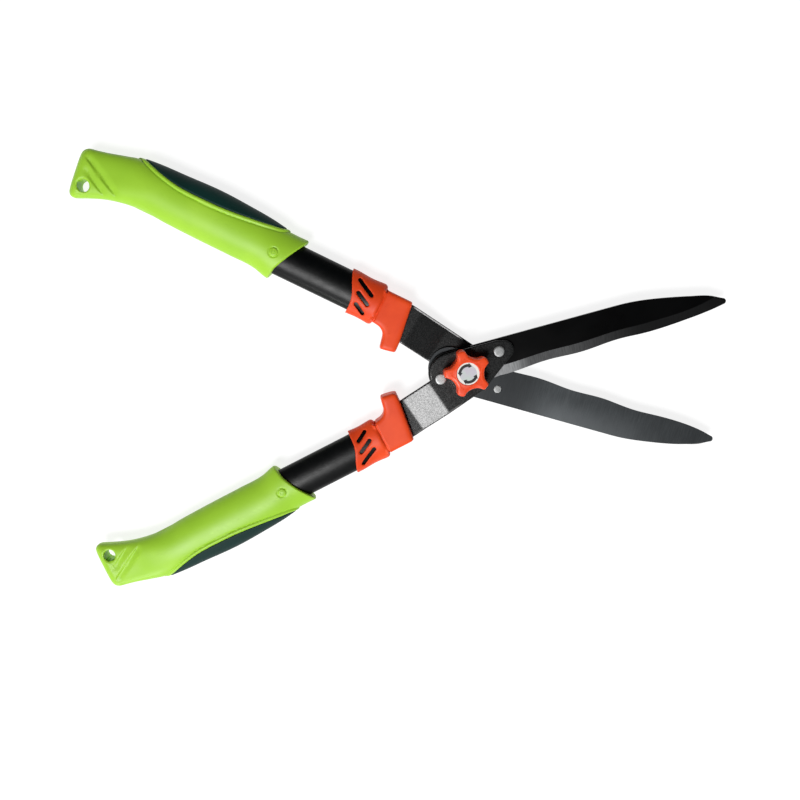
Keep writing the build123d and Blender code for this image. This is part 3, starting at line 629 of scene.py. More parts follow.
# ---------------------------------------------------------------------- node-built pieces
class NodeGraph:
    """A Geometry Nodes tree under construction, with short calls for its nodes."""

    SOCKETS = {float: "NodeSocketFloat", int: "NodeSocketInt", bpy.types.Material: "NodeSocketMaterial"}

    def __init__(self, name: str, inputs: dict[str, object]) -> None:
        """Start a tree.

        Args:
            name: name of the tree.
            inputs: name of each input, with the value that its type is read from.
        """
        self.tree = bpy.data.node_groups.new(name, "GeometryNodeTree")
        self.tree.interface.new_socket("Geometry", in_out="INPUT", socket_type="NodeSocketGeometry")
        self.values = inputs
        for key, value in inputs.items():
            self.tree.interface.new_socket(key, in_out="INPUT", socket_type=self.SOCKETS[type(value)])
        self.tree.interface.new_socket("Geometry", in_out="OUTPUT", socket_type="NodeSocketGeometry")
        self.start = self.tree.nodes.new("NodeGroupInput").outputs

    def node(self, kind: str, *values: object, **settings: object) -> bpy.types.Node:
        """Add a node, set its properties and fill its sockets in order; None leaves one alone."""
        node = self.tree.nodes.new(kind)
        for key, value in settings.items():
            setattr(node, key, value)
        for socket, value in zip([s for s in node.inputs if s.enabled], values):
            if isinstance(value, bpy.types.NodeSocket):
                self.tree.links.new(value, socket)
            elif value is not None:
                socket.default_value = value
        return node

    def math(self, operation: str, *values: object) -> bpy.types.NodeSocket:
        """Math node."""
        return self.node("ShaderNodeMath", *values, operation=operation).outputs[0]

    def curve(self, at: bpy.types.NodeSocket, points: Sequence[Point], top: float) -> bpy.types.NodeSocket:
        """Value read off straight lines between points, times top."""
        node = self.node("ShaderNodeFloatCurve", 1.0, at)
        line = node.mapping.curves[0]
        node.mapping.use_clip = False
        for x, y in points[1:-1]:
            line.points.new(x, y)
        line.points[0].location = points[0]
        line.points[-1].location = points[-1]
        for point in line.points:
            point.handle_type = "VECTOR"
        node.mapping.update()
        return self.math("MULTIPLY", node.outputs[0], top)

    def finish(self, geometry: bpy.types.NodeSocket) -> None:
        """Join doubles, make instances real, set the material and lead to the output."""
        real = self.node("GeometryNodeRealizeInstances", geometry).outputs[0]
        merged = self.node("GeometryNodeMergeByDistance", real, True, 2e-6).outputs[0]
        painted = self.node("GeometryNodeSetMaterial", merged, True, self.start["Material"]).outputs[0]
        self.node("NodeGroupOutput", painted)

    def make(self, name: str, spots: Sequence[Sequence[float]], sharp: float = 35.0) -> bpy.types.Object:
        """Run the tree on loose points and keep the result as a plain mesh.

        Args:
            name: name of the piece.
            spots: the points, in metres, that the tree builds on.
            sharp: edges sharper than this many degrees stay crisp.

        Returns:
            The piece, without its modifier.
        """
        base = bpy.data.meshes.new(f"{name}_spots")
        base.from_pydata([tuple(s) for s in spots], [], [])
        piece = bpy.data.objects.new(name, base)
        bpy.context.scene.collection.objects.link(piece)
        modifier = piece.modifiers.new("build", "NODES")
        modifier.node_group = self.tree
        for socket in self.tree.interface.items_tree:
            if socket.in_out == "INPUT" and socket.name in self.values:
                modifier[socket.identifier] = self.values[socket.name]
        bpy.context.view_layer.update()
        graph = bpy.context.evaluated_depsgraph_get()
        mesh = bpy.data.meshes.new_from_object(piece.evaluated_get(graph), depsgraph=graph)
        piece.modifiers.clear()
        piece.data = mesh
        mesh.name = name
        tidy_mesh(mesh, sharp)
        return piece


def tidy_mesh(mesh: bpy.types.Mesh, sharp: float) -> None:
    """Turn all faces outward, shade smooth and keep edges sharper than an angle crisp."""
    work = bmesh.new()
    work.from_mesh(mesh)
    bmesh.ops.recalc_face_normals(work, faces=work.faces)
    work.to_mesh(mesh)
    work.free()
    mesh.polygons.foreach_set("use_smooth", [True] * len(mesh.polygons))
    mesh.set_sharp_from_angle(angle=math.radians(sharp))


@dataclass(frozen=True)
class TurnedShape:
    """A shape turned about an upright axis, whose rim may follow a star.

    Each row of the profile is (round radius, inset from the star's rim, share of the star
    from 0 to 1, height), in millimetres, from the middle of one end to the middle of the other.
    """

    name: str
    rows: tuple[Row, ...]
    around: int
    finish: object
    flip: bool = False
    lobes: int = 5
    tip_radius: float = 1.0
    valley_radius: float = 1.0

    STAR = ((0.0, 1.0), (0.14, 0.992), (0.22, 0.95), (0.27, 0.86), (0.32, 0.70), (0.37, 0.52), (0.44, 0.35),
            (0.52, 0.22), (0.60, 0.14), (0.69, 0.08), (0.77, 0.042), (0.85, 0.02), (0.93, 0.005), (1.0, 0.0))

    def graph(self) -> NodeGraph:
        """Build the tree: a grid bent into rows about the axis, set on every point."""
        graph = NodeGraph(self.name, {
            "Lobes": self.lobes, "Tip Radius": self.tip_radius * MM, "Valley Radius": self.valley_radius * MM,
            "Scale": MM, "Flip": math.pi if self.flip else 0.0, "Material": Rack.get(self.finish),
        })
        count = len(self.rows)
        grid = graph.node("GeometryNodeMeshGrid", 1.0, 1.0, self.around + 1, count).outputs["Mesh"]
        spread = graph.node("ShaderNodeSeparateXYZ", graph.node("GeometryNodeInputPosition").outputs[0])
        turn = graph.math("MULTIPLY", graph.math("ADD", spread.outputs["X"], 0.5), math.tau)
        row = graph.math("ADD", spread.outputs["Y"], 0.5)
        columns = []
        for column in range(4):
            top = max(max(abs(r[column]) for r in self.rows), 1e-6)
            points = [(i / (count - 1), r[column] / top) for i, r in enumerate(self.rows)]
            columns.append(graph.curve(row, points, top))
        round_radius, inset, share, height = columns
        swing = graph.math("DIVIDE", graph.math("MULTIPLY", turn, graph.start["Lobes"]), math.tau)
        saw = graph.math("FRACT", swing)
        lean = graph.math("ABSOLUTE", graph.math("MULTIPLY_ADD", saw, 2.0, -1.0))
        rise = graph.curve(lean, self.STAR, 1.0)
        reach = graph.math("SUBTRACT", graph.start["Tip Radius"], graph.start["Valley Radius"])
        star = graph.math("MULTIPLY_ADD", rise, reach, graph.start["Valley Radius"])
        star = graph.math("SUBTRACT", star, graph.math("MULTIPLY", inset, graph.start["Scale"]))
        plain = graph.math("MULTIPLY", round_radius, graph.start["Scale"])
        radius = graph.math("MULTIPLY_ADD", graph.math("SUBTRACT", star, plain), share, plain)
        place = graph.node(
            "ShaderNodeCombineXYZ",
            graph.math("MULTIPLY", radius, graph.math("COSINE", turn)),
            graph.math("MULTIPLY", radius, graph.math("SINE", turn)),
            graph.math("MULTIPLY", height, graph.start["Scale"]),
        ).outputs[0]
        bent = graph.node("GeometryNodeSetPosition", grid, True, place).outputs[0]
        flip = graph.node("ShaderNodeCombineXYZ", graph.start["Flip"], 0.0, 0.0).outputs[0]
        turned = graph.node("GeometryNodeTransform", bent, None, flip)
        graph.tree.links.new(flip, turned.inputs["Rotation"])
        points = graph.node("GeometryNodeMeshToPoints", graph.start["Geometry"]).outputs[0]
        placed = graph.node("GeometryNodeInstanceOnPoints")
        graph.tree.links.new(points, placed.inputs["Points"])
        graph.tree.links.new(turned.outputs[0], placed.inputs["Instance"])
        graph.finish(placed.outputs[0])
        return graph


def quarter_round(radius: float, base: float, steps: int) -> tuple[Row, ...]:
    """Profile rows of a star's rounded top edge, from its side to its top.

    Args:
        radius: radius of the edge, mm.
        base: height where the rounding starts, mm.
        steps: rows in the rounding.

    Returns:
        Rows for TurnedShape.
    """
    turns = [math.pi / 2 * i / steps for i in range(steps + 1)]
    return tuple((0.0, radius * (1 - math.cos(t)), 1.0, base + radius * math.sin(t)) for t in turns)


# ---------------------------------------------------------------------- grips
HANDLE_MIDDLE = (0.0, 20.0, 0.0)    # across value of the handle's own middle line, mm


@dataclass(frozen=True)
class GripBody:
    """Outer shape of the hard grip: rounded sections along the handle, cut aslant in front."""

    along: tuple[float, ...] = (
        150.0, 176.0, 186.0, 208.0, 232.0, 262.0, 284.0, 297.0, 311.0, 323.0, 333.0, 346.0)
    inner: tuple[float, ...] = (-2.8, -1.9, 0.6, 1.3, 1.5, 2.2, 3.2, 1.7, -1.8, -6.7, -11.2, -13.5)
    outer: tuple[float, ...] = (38.4, 38.6, 40.0, 41.6, 42.5, 41.2, 40.1, 38.5, 34.6, 31.2, 29.0, 27.5)
    half: tuple[float, ...] = (11.7, 12.1, 12.4, 12.6, 12.7, 12.6, 12.3, 10.9, 8.7, 7.8, 7.6, 7.6)
    square: tuple[float, ...] = (2.0, 2.0, 2.0, 2.05, 2.1, 2.1, 2.2, 2.5, 2.9, 3.1, 3.2, 3.2)
    front: tuple[Point, ...] = (
        (-8.0, 175.0), (8.0, 171.0), (21.0, 164.6), (36.0, 156.3), (46.0, 154.6))
    rear: tuple[Point, ...] = ((-20.0, 336.8), (-5.4, 337.6), (21.5, 339.6), (40.0, 340.8))
    front_round: float = 1.6
    rear_round: float = 7.0
    bore_end: float = 300.0
    guess_along: float = 200.0      # where the search for the slanted ends starts
    guesses: int = 5

    def section(self, along: np.ndarray) -> tuple[np.ndarray, np.ndarray, np.ndarray, np.ndarray]:
        """Middle, half width, half thickness and squareness at places along the handle."""
        inner = spline(self.along, self.inner, along)
        outer = spline(self.along, self.outer, along)
        thick, square = spline(self.along, self.half, along), spline(self.along, self.square, along)
        return (inner + outer) / 2, (outer - inner) / 2, thick, square

    def surface(
        self, along: np.ndarray, turn: np.ndarray, inset: np.ndarray,
    ) -> tuple[np.ndarray, np.ndarray]:
        """Across and height of points of the outer surface.

        Args:
            along: places along the handle, mm.
            turn: angle round the section, 0 on its outer side.
            inset: how far inside the section the point lies, mm.

        Returns:
            Across and height, mm.
        """
        middle, wide, thick, square = self.section(along)
        power = 2.0 / square
        c, s = np.cos(turn), np.sin(turn)
        across = middle + (wide - inset) * np.sign(c) * np.abs(c) ** power
        height = (thick - inset) * np.sign(s) * np.abs(s) ** power
        return across, height

    def grid(self, rings: int, around: int) -> tuple[np.ndarray, np.ndarray, np.ndarray]:
        """Outer surface as rings, from the slanted front to the rounded rear end.

        Args:
            rings: number of rings between the two rounded rims.
            around: points in each ring.

        Returns:
            Along, across and height, each of shape (rings, around).
        """
        lead = [math.pi / 2 * i / 5 for i in range(5)]
        trail = [math.pi / 2 * i / 12 for i in range(1, 13)]
        t_front = [self.front_round * (1 - math.sin(a)) for a in lead] + [0.0] * rings + [0.0] * len(trail)
        t_rear = [0.0] * (len(lead) + rings) + [self.rear_round * (1 - math.cos(a)) for a in trail]
        shift_front = [self.front_round * (1 - math.cos(a)) for a in lead]
        shift_rear = [self.rear_round * math.sin(a) for a in trail]
        inset = (np.array(t_front) + np.array(t_rear))[:, None]
        turn = np.linspace(0.0, math.tau, around, endpoint=False)[None, :] + np.zeros_like(inset)
        share = np.linspace(0.0, 1.0, rings)
        along = np.full_like(turn, self.guess_along)
        across, height = self.surface(along, turn, inset)
        for _ in range(self.guesses):
            front = np.interp(across, *zip(*self.front)) + self.front_round
            rear = np.interp(across, *zip(*self.rear)) - self.rear_round
            first = front[:len(lead)] - self.front_round + np.array(shift_front)[:, None]
            body = front[len(lead):len(lead) + rings]
            last = rear[len(lead):len(lead) + rings]
            middle = body + (last - body) * share[:, None]
            final = rear[len(lead) + rings:] + np.array(shift_rear)[:, None]
            along = np.concatenate([first, middle, final])
            across, height = self.surface(along, turn, inset)
        return along, across, height


@dataclass(frozen=True)
class StripBorder:
    """Loop on the grip's outer side that parts the soft strip from the hard shell."""

    body: GripBody = GripBody()
    along: tuple[float, ...] = (173.6, 176.0, 186.8, 202.5, 222.4, 242.8, 261.5, 277.2, 287.0, 294.0, 298.0)
    across: tuple[float, ...] = (38.9, 37.7, 35.3, 33.1, 31.1, 30.5, 31.1, 33.9, 36.4, 38.2, 39.6)
    mean_wide: float = 20.2
    mean_thick: float = 12.6

    @property
    def half_turn(self) -> np.ndarray:
        """Closely spaced angles from the outermost point to the opposite one."""
        return np.linspace(0.0, math.pi, 721)

    def arc(self, turn: np.ndarray) -> np.ndarray:
        """Way round the section from its outermost point, mm."""
        steps = self.half_turn
        speed = np.hypot(self.mean_wide * np.sin(steps), self.mean_thick * np.cos(steps))
        way = np.concatenate([[0.0], np.cumsum((speed[1:] + speed[:-1]) / 2 * (steps[1] - steps[0]))])
        return np.interp(np.abs(turn), steps, way)

    def turn(self, along: np.ndarray) -> np.ndarray:
        """Angle round the section where the border lies."""
        middle, wide, _, square = self.body.section(along)
        share = np.clip((spline(self.along, self.across, along) - middle) / wide, -1.0, 1.0)
        return np.arccos(np.sign(share) * np.abs(share) ** (square / 2.0))

    def distance(self, along: np.ndarray, across: np.ndarray, height: np.ndarray) -> np.ndarray:
        """Signed distance over the surface to the border, negative on the strip.

        Args:
            along: places along the handle, mm.
            across: across values, mm.
            height: heights, mm.

        Returns:
            The distance, mm.
        """
        middle, wide, thick, _ = self.body.section(along)
        turn = np.arctan2(np.abs(height) / thick, (across - middle) / wide)
        way = self.arc(turn)
        line = np.linspace(self.along[0], self.along[-1], 260)
        line_way = self.arc(self.turn(line))
        line_way[0] = line_way[-1] = 0.0
        flat = np.stack([along.ravel(), way.ravel()], axis=1)
        far = np.full(len(flat), 1e9)
        border = np.stack([line, line_way], axis=1)
        for start, end in zip(border[:-1], border[1:]):
            span = end - start
            t = np.clip(((flat - start) @ span) / (span @ span), 0.0, 1.0)
            gap = flat - start - t[:, None] * span
            far = np.minimum(far, np.einsum("ij,ij->i", gap, gap))
        far = np.sqrt(far).reshape(along.shape)
        inside = (along > line[0]) & (along < line[-1]) & (way < np.interp(along, line, line_way))
        return np.where(inside, -far, far)


@dataclass(frozen=True)
class FingerStep:
    """A slanted step moulded in the grip's flat end."""

    level: float                        # place of the step, square to its line
    start: float                        # ends of the step, along its line
    end: float
    depth: float
    heading: Point = (0.874, 0.485)     # direction of its line, along and across
    fade: Point = (3.0, 4.0)            # it fades over this much outside and inside its ends
    wall: Point = (-0.45, 0.25)         # the steep side
    slope: Point = (6.5, 0.4)           # the shallow side

    def press(self, along: np.ndarray, across: np.ndarray) -> np.ndarray:
        """How far the surface is pressed in, mm."""
        ahead, aside = self.heading
        square = ahead * across - aside * along - self.level
        line = ahead * along + aside * across
        beyond, within = self.fade
        ends = smoothstep(self.start - beyond, self.start + within, line)
        ends = ends * smoothstep(self.end + beyond, self.end - within, line)
        drop = smoothstep(*self.wall, square) * smoothstep(*self.slope, square)
        return self.depth * ends * drop


@dataclass
class Grip:
    """One grip: hard shell, soft strip and the pin through them.

    Grooves are (depth, distance out from their edge, width).
    """

    side: Side
    body: GripBody = GripBody()
    border: StripBorder = StripBorder()
    steps: tuple[FingerStep, ...] = (
        FingerStep(-143.2, 267.0, 301.0, 1.15), FingerStep(-150.4, 273.0, 295.0, 1.0))
    bead_height: float = 0.95
    bead_half: float = 1.55
    seat_depth: float = 1.5
    groove: Triple = (0.40, 0.45, 0.5)
    pin_groove: Triple = (0.55, 0.45, 0.42)
    face_level: float = 3.0         # the two faces lie further than this from mid-plane
    hole: Point = (327.4, 1.1)
    hole_radius: float = 4.8
    hole_round: float = 1.3
    hole_sides: int = 64
    cutter_half: float = 14.0
    pin: Point = (176.4, 18.8)
    pin_radius: float = 3.3
    pin_head: float = 12.55         # top of the head, from mid-plane
    bore: Triple = (17.9, 15.06, 8.86)
    mouth_round: float = 0.35       # widening of the bore at its mouth
    rings: int = 300
    around: int = 200
    strip_gap: float = 1.2          # strip to border, at its ends
    strip_edge: float = 1.3         # width of the strip's rounded edge
    strip_grid: tuple[int, int] = (260, 92)

    def lift(self, along: np.ndarray, across: np.ndarray, height: np.ndarray) -> np.ndarray:
        """How far the shell's surface stands out of the plain body, mm."""
        far = self.border.distance(along, across, height)
        bead = self.bead_height * np.sqrt(np.clip(1.0 - (far / self.bead_half) ** 2, 0.0, 1.0))
        depth, offset, width = self.groove
        groove = -depth * np.exp(-((far - self.bead_half - offset) / width) ** 2)
        seat = -self.seat_depth * smoothstep(-self.bead_half + 0.1, -self.bead_half - 0.5, far)
        out = bead + groove + seat
        level = np.abs(height) > self.face_level
        for step in self.steps:
            out = out - np.where(level, step.press(along, across), 0.0)
        hole = np.hypot(along - self.hole[0], across - self.hole[1]) - self.hole_radius
        rim = np.clip(1.0 - hole / self.hole_round, 0.0, 1.0)
        out = out - np.where(level, self.hole_round * (1.0 - np.sqrt(1.0 - np.clip(rim, 0, 0.98) ** 2)), 0.0)
        depth, offset, width = self.pin_groove
        pin = np.hypot(along - self.pin[0], across - self.pin[1]) - self.pin_radius - offset
        return out - np.where(level, depth * np.exp(-(pin / width) ** 2), 0.0)

    def build(self) -> list[bpy.types.Object]:
        """Build and place the three pieces.

        Returns:
            The shell, the strip and the pin.
        """
        return [self.make_shell(), self.make_strip(), self.make_pin()]

    def place(self, along: np.ndarray, across: np.ndarray, height: np.ndarray) -> np.ndarray:
        """Points of the handle in the row frame, in metres."""
        return ArmFrame(self.side).place(along, across, height, HANDLE_HEADING)

    def make_shell(self) -> bpy.types.Object:
        """Hard shell with bead, finger steps, hang hole and bore."""
        along, across, height = self.body.grid(self.rings, self.around)
        points = np.stack([along, across, height], axis=-1)
        points = points + outward(points) * self.lift(along, across, height)[..., None]
        turn = np.linspace(0.0, math.tau, self.around, endpoint=False)
        offset, wide, thick = self.bore
        inside = []
        for wider in (self.mouth_round, 0.0):
            bore_across = offset + (wide + wider) * np.cos(turn)
            bore_height = (thick + wider) * np.sin(turn)
            front = np.interp(bore_across, *zip(*self.body.front)) + (self.mouth_round - wider)
            inside.append(np.stack([front, bore_across, bore_height], axis=-1))
        deep = inside[-1].copy()
        deep[:, 0] = self.body.bore_end
        rings = np.concatenate([np.stack([deep, inside[1], inside[0]]), points])
        faces = ring_faces(len(rings), self.around)
        faces += cap_faces(0, self.around) + cap_faces((len(rings) - 1) * self.around, self.around)
        shell = mesh_object(f"{self.side.prefix}_grip_shell", self.place(*np.moveaxis(rings, -1, 0)), faces)
        self.cut_hole(shell)
        shell.data.set_sharp_from_angle(angle=math.radians(50.0))
        dress(shell, Rack.LIME)
        return fit(shell, self.side.body, f"{self.side.prefix}_grip")

    def cut_hole(self, shell: bpy.types.Object) -> None:
        """Cut the hang hole through the shell."""
        sides = self.hole_sides
        turn = np.linspace(0.0, math.tau, sides, endpoint=False)
        across = self.hole[1] + self.hole_radius * np.sin(turn)
        along = self.hole[0] + self.hole_radius * np.cos(turn)
        levels = np.repeat([[-self.cutter_half], [self.cutter_half]], sides, axis=1)
        points = self.place(np.tile(along, (2, 1)), np.tile(across, (2, 1)), levels)
        faces = ring_faces(2, sides) + [tuple(range(sides)), tuple(range(sides, 2 * sides))]
        cutter = mesh_object("hole_cutter", points, faces)
        modifier = shell.modifiers.new("hole", "BOOLEAN")
        modifier.operation = "DIFFERENCE"
        modifier.object = cutter
        modifier.solver = "EXACT"
        keep_modified(shell)
        bpy.data.objects.remove(cutter)

    def make_strip(self) -> bpy.types.Object:
        """Soft strip that fills the shell's seat, with rounded edges."""
        count, across_count = self.strip_grid
        start, end = self.border.along[0] + self.strip_gap, self.border.along[-1] - self.strip_gap
        ease = (1.0 - np.cos(np.linspace(0.0, math.pi, count))) / 2.0
        along = (start + (end - start) * ease)[:, None]
        gap = self.bead_half - 0.35
        way_limit = np.maximum(self.border.arc(self.border.turn(along)) - gap, 0.02)
        steps = self.border.half_turn
        share = np.sin(np.linspace(-math.pi / 2, math.pi / 2, across_count))[None, :]
        way = way_limit * np.abs(share)
        turn = np.sign(share) * np.interp(way, self.border.arc(steps), steps)
        along = along + 0.0 * turn
        across, height = self.body.surface(along, turn, np.zeros_like(along))
        points = np.stack([along, across, height], axis=-1)
        out = outward(points, wrap=False)
        far = self.border.distance(along, across, height) + gap
        edge = np.clip(self.strip_edge + far, 0.0, self.strip_edge) / self.strip_edge
        crown = np.sqrt(np.clip(1.0 - edge ** 2, 0.0, 1.0))
        top = points + out * (-0.3 + (self.bead_height + 0.55) * crown)[..., None]
        low = points - out * (self.seat_depth + 0.1)
        faces = patch_faces(count, across_count)
        flat = np.concatenate([top.reshape(-1, 3), low.reshape(-1, 3)])
        strip = mesh_object(f"{self.side.prefix}_soft_strip", self.place(*flat.T), faces)
        strip.data.set_sharp_from_angle(angle=math.radians(60.0))
        dress(strip, Rack.SOFT_STRIP)
        return fit(strip, self.side.body, f"{self.side.prefix}_grip_insert")

    def make_pin(self) -> bpy.types.Object:
        """Pin through the grip, with a low domed head on each face."""
        head, rim = self.pin_head, self.pin_radius
        rows = [
            (0.0, head - 0.05), (0.9, head), (1.3, head - 0.02), (1.5, head - 0.22), (1.7, head - 0.02),
            (2.6, head - 0.08), (3.0, head - 0.25), (rim, head - 0.6), (rim, head - 2.4), (2.2, head - 2.5)]
        mirrored = [(r, -z) for r, z in reversed(rows)]
        full = tuple((r, 0.0, 0.0, z) for r, z in rows + mirrored)
        shape = TurnedShape(f"{self.side.prefix}_grip_rivet", full, 72, Rack.LIME)
        spot = self.place(np.array(self.pin[0]), np.array(self.pin[1]), np.array(0.0))
        piece = shape.graph().make(shape.name, [spot])
        return fit(piece, self.side.body, f"{self.side.prefix}_grip_pin")


def outward(points: np.ndarray, wrap: bool = True) -> np.ndarray:
    """Unit normals of a grid of points, away from its own middle line or the handle's.

    Args:
        points: places of shape (rings, around, 3).
        wrap: whether each ring is closed, and so has a middle of its own.

    Returns:
        The normals, in the same shape.
    """
    rise = np.gradient(points, axis=0)
    if wrap:
        run = np.roll(points, -1, axis=1) - np.roll(points, 1, axis=1)
    else:
        run = np.gradient(points, axis=1)
    normal = np.cross(rise, run)
    normal /= np.maximum(np.linalg.norm(normal, axis=-1, keepdims=True), 1e-9)
    middle = points.mean(axis=1, keepdims=True) if wrap else np.array(HANDLE_MIDDLE)
    away = points - middle
    away[..., 0] = 0.0
    side = np.sign(np.sum(normal * away, axis=-1, keepdims=True))
    return normal * np.where(side == 0, 1.0, side)


def patch_faces(rows: int, columns: int) -> list[tuple[int, ...]]:
    """Faces of two open grids of points, one over the other, joined round their rims."""
    faces, low = [], rows * columns
    for r in range(rows - 1):
        for c in range(columns - 1):
            quad = (r * columns + c, r * columns + c + 1, (r + 1) * columns + c + 1, (r + 1) * columns + c)
            faces.append(quad)
            faces.append(tuple(low + q for q in reversed(quad)))
    rim = list(range(columns))
    rim += [r * columns + columns - 1 for r in range(1, rows)]
    rim += [(rows - 1) * columns + c for c in range(columns - 2, -1, -1)]
    rim += [r * columns for r in range(rows - 2, 0, -1)]
    for a, b in zip(rim, rim[1:] + rim[:1]):
        faces.append((b, a, low + a, low + b))
    return faces


def keep_modified(piece: bpy.types.Object) -> None:
    """Replace a piece's mesh by what its modifiers make of it, and drop them."""
    graph = bpy.context.evaluated_depsgraph_get()
    graph.update()
    mesh = bpy.data.meshes.new_from_object(piece.evaluated_get(graph), depsgraph=graph)
    piece.modifiers.clear()
    piece.data = mesh


def vertex_places(piece: bpy.types.Object) -> np.ndarray:
    """Places of a piece's vertices, one row each, in metres."""
    flat = np.empty(3 * len(piece.data.vertices))
    piece.data.vertices.foreach_get("co", flat)
    return flat.reshape(-1, 3)


def fit(piece: bpy.types.Object, body: str, node: Optional[str] = None) -> bpy.types.Object:
    """Attach a piece to the body that it moves with, and hide the solid node that it stands for.

    Args:
        piece: the finished piece.
        body: the body that it moves with.
        node: the node of the solid model that it replaces, if any.

    Returns:
        The piece.
    """
    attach(piece, body)
    if node is not None:
        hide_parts(node)
    log.info("%s: %d faces on %s", piece.name, len(piece.data.polygons), body)
    return piece


# ---------------------------------------------------------------------- melted copies
@dataclass
class SoftCopy:
    """A pressed or moulded part with melted edges, made from a copy of the solid one."""

    side: Side
    part: str
    slot: str
    finish: object
    voxel: float = 0.5
    rounds: int = 12
    strength: float = 0.5

    def build(self) -> bpy.types.Object:
        """Copy the solid part, melt its edges and dress it.

        Returns:
            The placed piece, which stands for the solid part.
        """
        node = f"{self.side.prefix}_{self.part}"
        piece = bpy.data.objects.new(f"{self.side.prefix}_soft_{self.part}", frame["nodes"][node].data.copy())
        bpy.context.scene.collection.objects.link(piece)
        work = bmesh.new()
        work.from_mesh(piece.data)
        bmesh.ops.remove_doubles(work, verts=work.verts, dist=1e-6)
        work.to_mesh(piece.data)
        work.free()
        remesh = piece.modifiers.new("melt", "REMESH")
        remesh.mode = "VOXEL"
        remesh.voxel_size = self.voxel * MM
        smooth = piece.modifiers.new("soften", "SMOOTH")
        smooth.factor = self.strength
        smooth.iterations = self.rounds
        keep_modified(piece)
        self.shape(piece)
        piece.data.polygons.foreach_set("use_smooth", [True] * len(piece.data.polygons))
        dress(piece, self.finish)
        return fit(piece, self.side.body, node)

    def shape(self, piece: bpy.types.Object) -> None:
        """Further shaping of the melted copy; none by default."""


@dataclass
class Collar(SoftCopy):
    """Moulded collar, whose sleeve is waisted and has a rolled front lip.

    The sleeve is (start, end, offset) along and across the handle's heading.
    """

    part: str = "collar"
    slot: str = "collar_plastic"
    finish: object = Rack.ORANGE
    waist: float = 0.7
    lip: float = 3.4
    block_rounds: int = 130
    block_level: float = 4.5
    sleeve: Triple = (84.6, 112.0, 17.4)
    half: Point = (17.4, 11.0)

    def shape(self, piece: bpy.types.Object) -> None:
        """Draw in the middle of the sleeve and roll its front edge."""
        forward = ArmFrame(self.side).heading(HANDLE_HEADING)
        outward_of = ArmFrame(self.side).heading(HANDLE_HEADING - 90.0)
        start, end, offset = self.sleeve
        wide, thick = self.half
        self.melt_block(piece, forward, start)
        points = vertex_places(piece)
        along, across = points @ forward / MM, points @ outward_of / MM - offset
        height = points[:, 2] / MM - SHEAR_Z
        reach = np.hypot(across / wide, height / thick)
        share = np.sin(math.pi * np.clip((along - start - 1.0) / (end - start - 1.0), 0.0, 1.0)) ** 2
        bend = np.clip((start + self.lip - along) / self.lip, 0.0, 1.0)
        roll = self.lip * (1.0 - np.sqrt(1.0 - 0.95 * bend ** 2))
        mask = smoothstep(0.84, 0.93, reach) * smoothstep(start - 1.4, start - 0.8, along)
        pull = self.waist * share + roll
        points -= np.outer(across / wide * pull * mask, outward_of) * MM
        points[:, 2] -= height / thick * (self.waist * share + 0.35 * roll) * mask * MM
        piece.data.vertices.foreach_set("co", points.ravel())

    def melt_block(self, piece: bpy.types.Object, forward: np.ndarray, start: float) -> None:
        """Round the top and bottom edges of the block in front of the sleeve."""
        points = vertex_places(piece)
        height = np.abs(points[:, 2] / MM - SHEAR_Z)
        chosen = np.nonzero((points @ forward / MM < start - 1.2) & (height > self.block_level))[0]
        group = piece.vertex_groups.new(name="block")
        group.add(chosen.tolist(), 1.0, "REPLACE")
        smooth = piece.modifiers.new("block_edges", "SMOOTH")
        smooth.vertex_group = group.name
        smooth.factor = self.strength
        smooth.iterations = self.block_rounds
        keep_modified(piece)


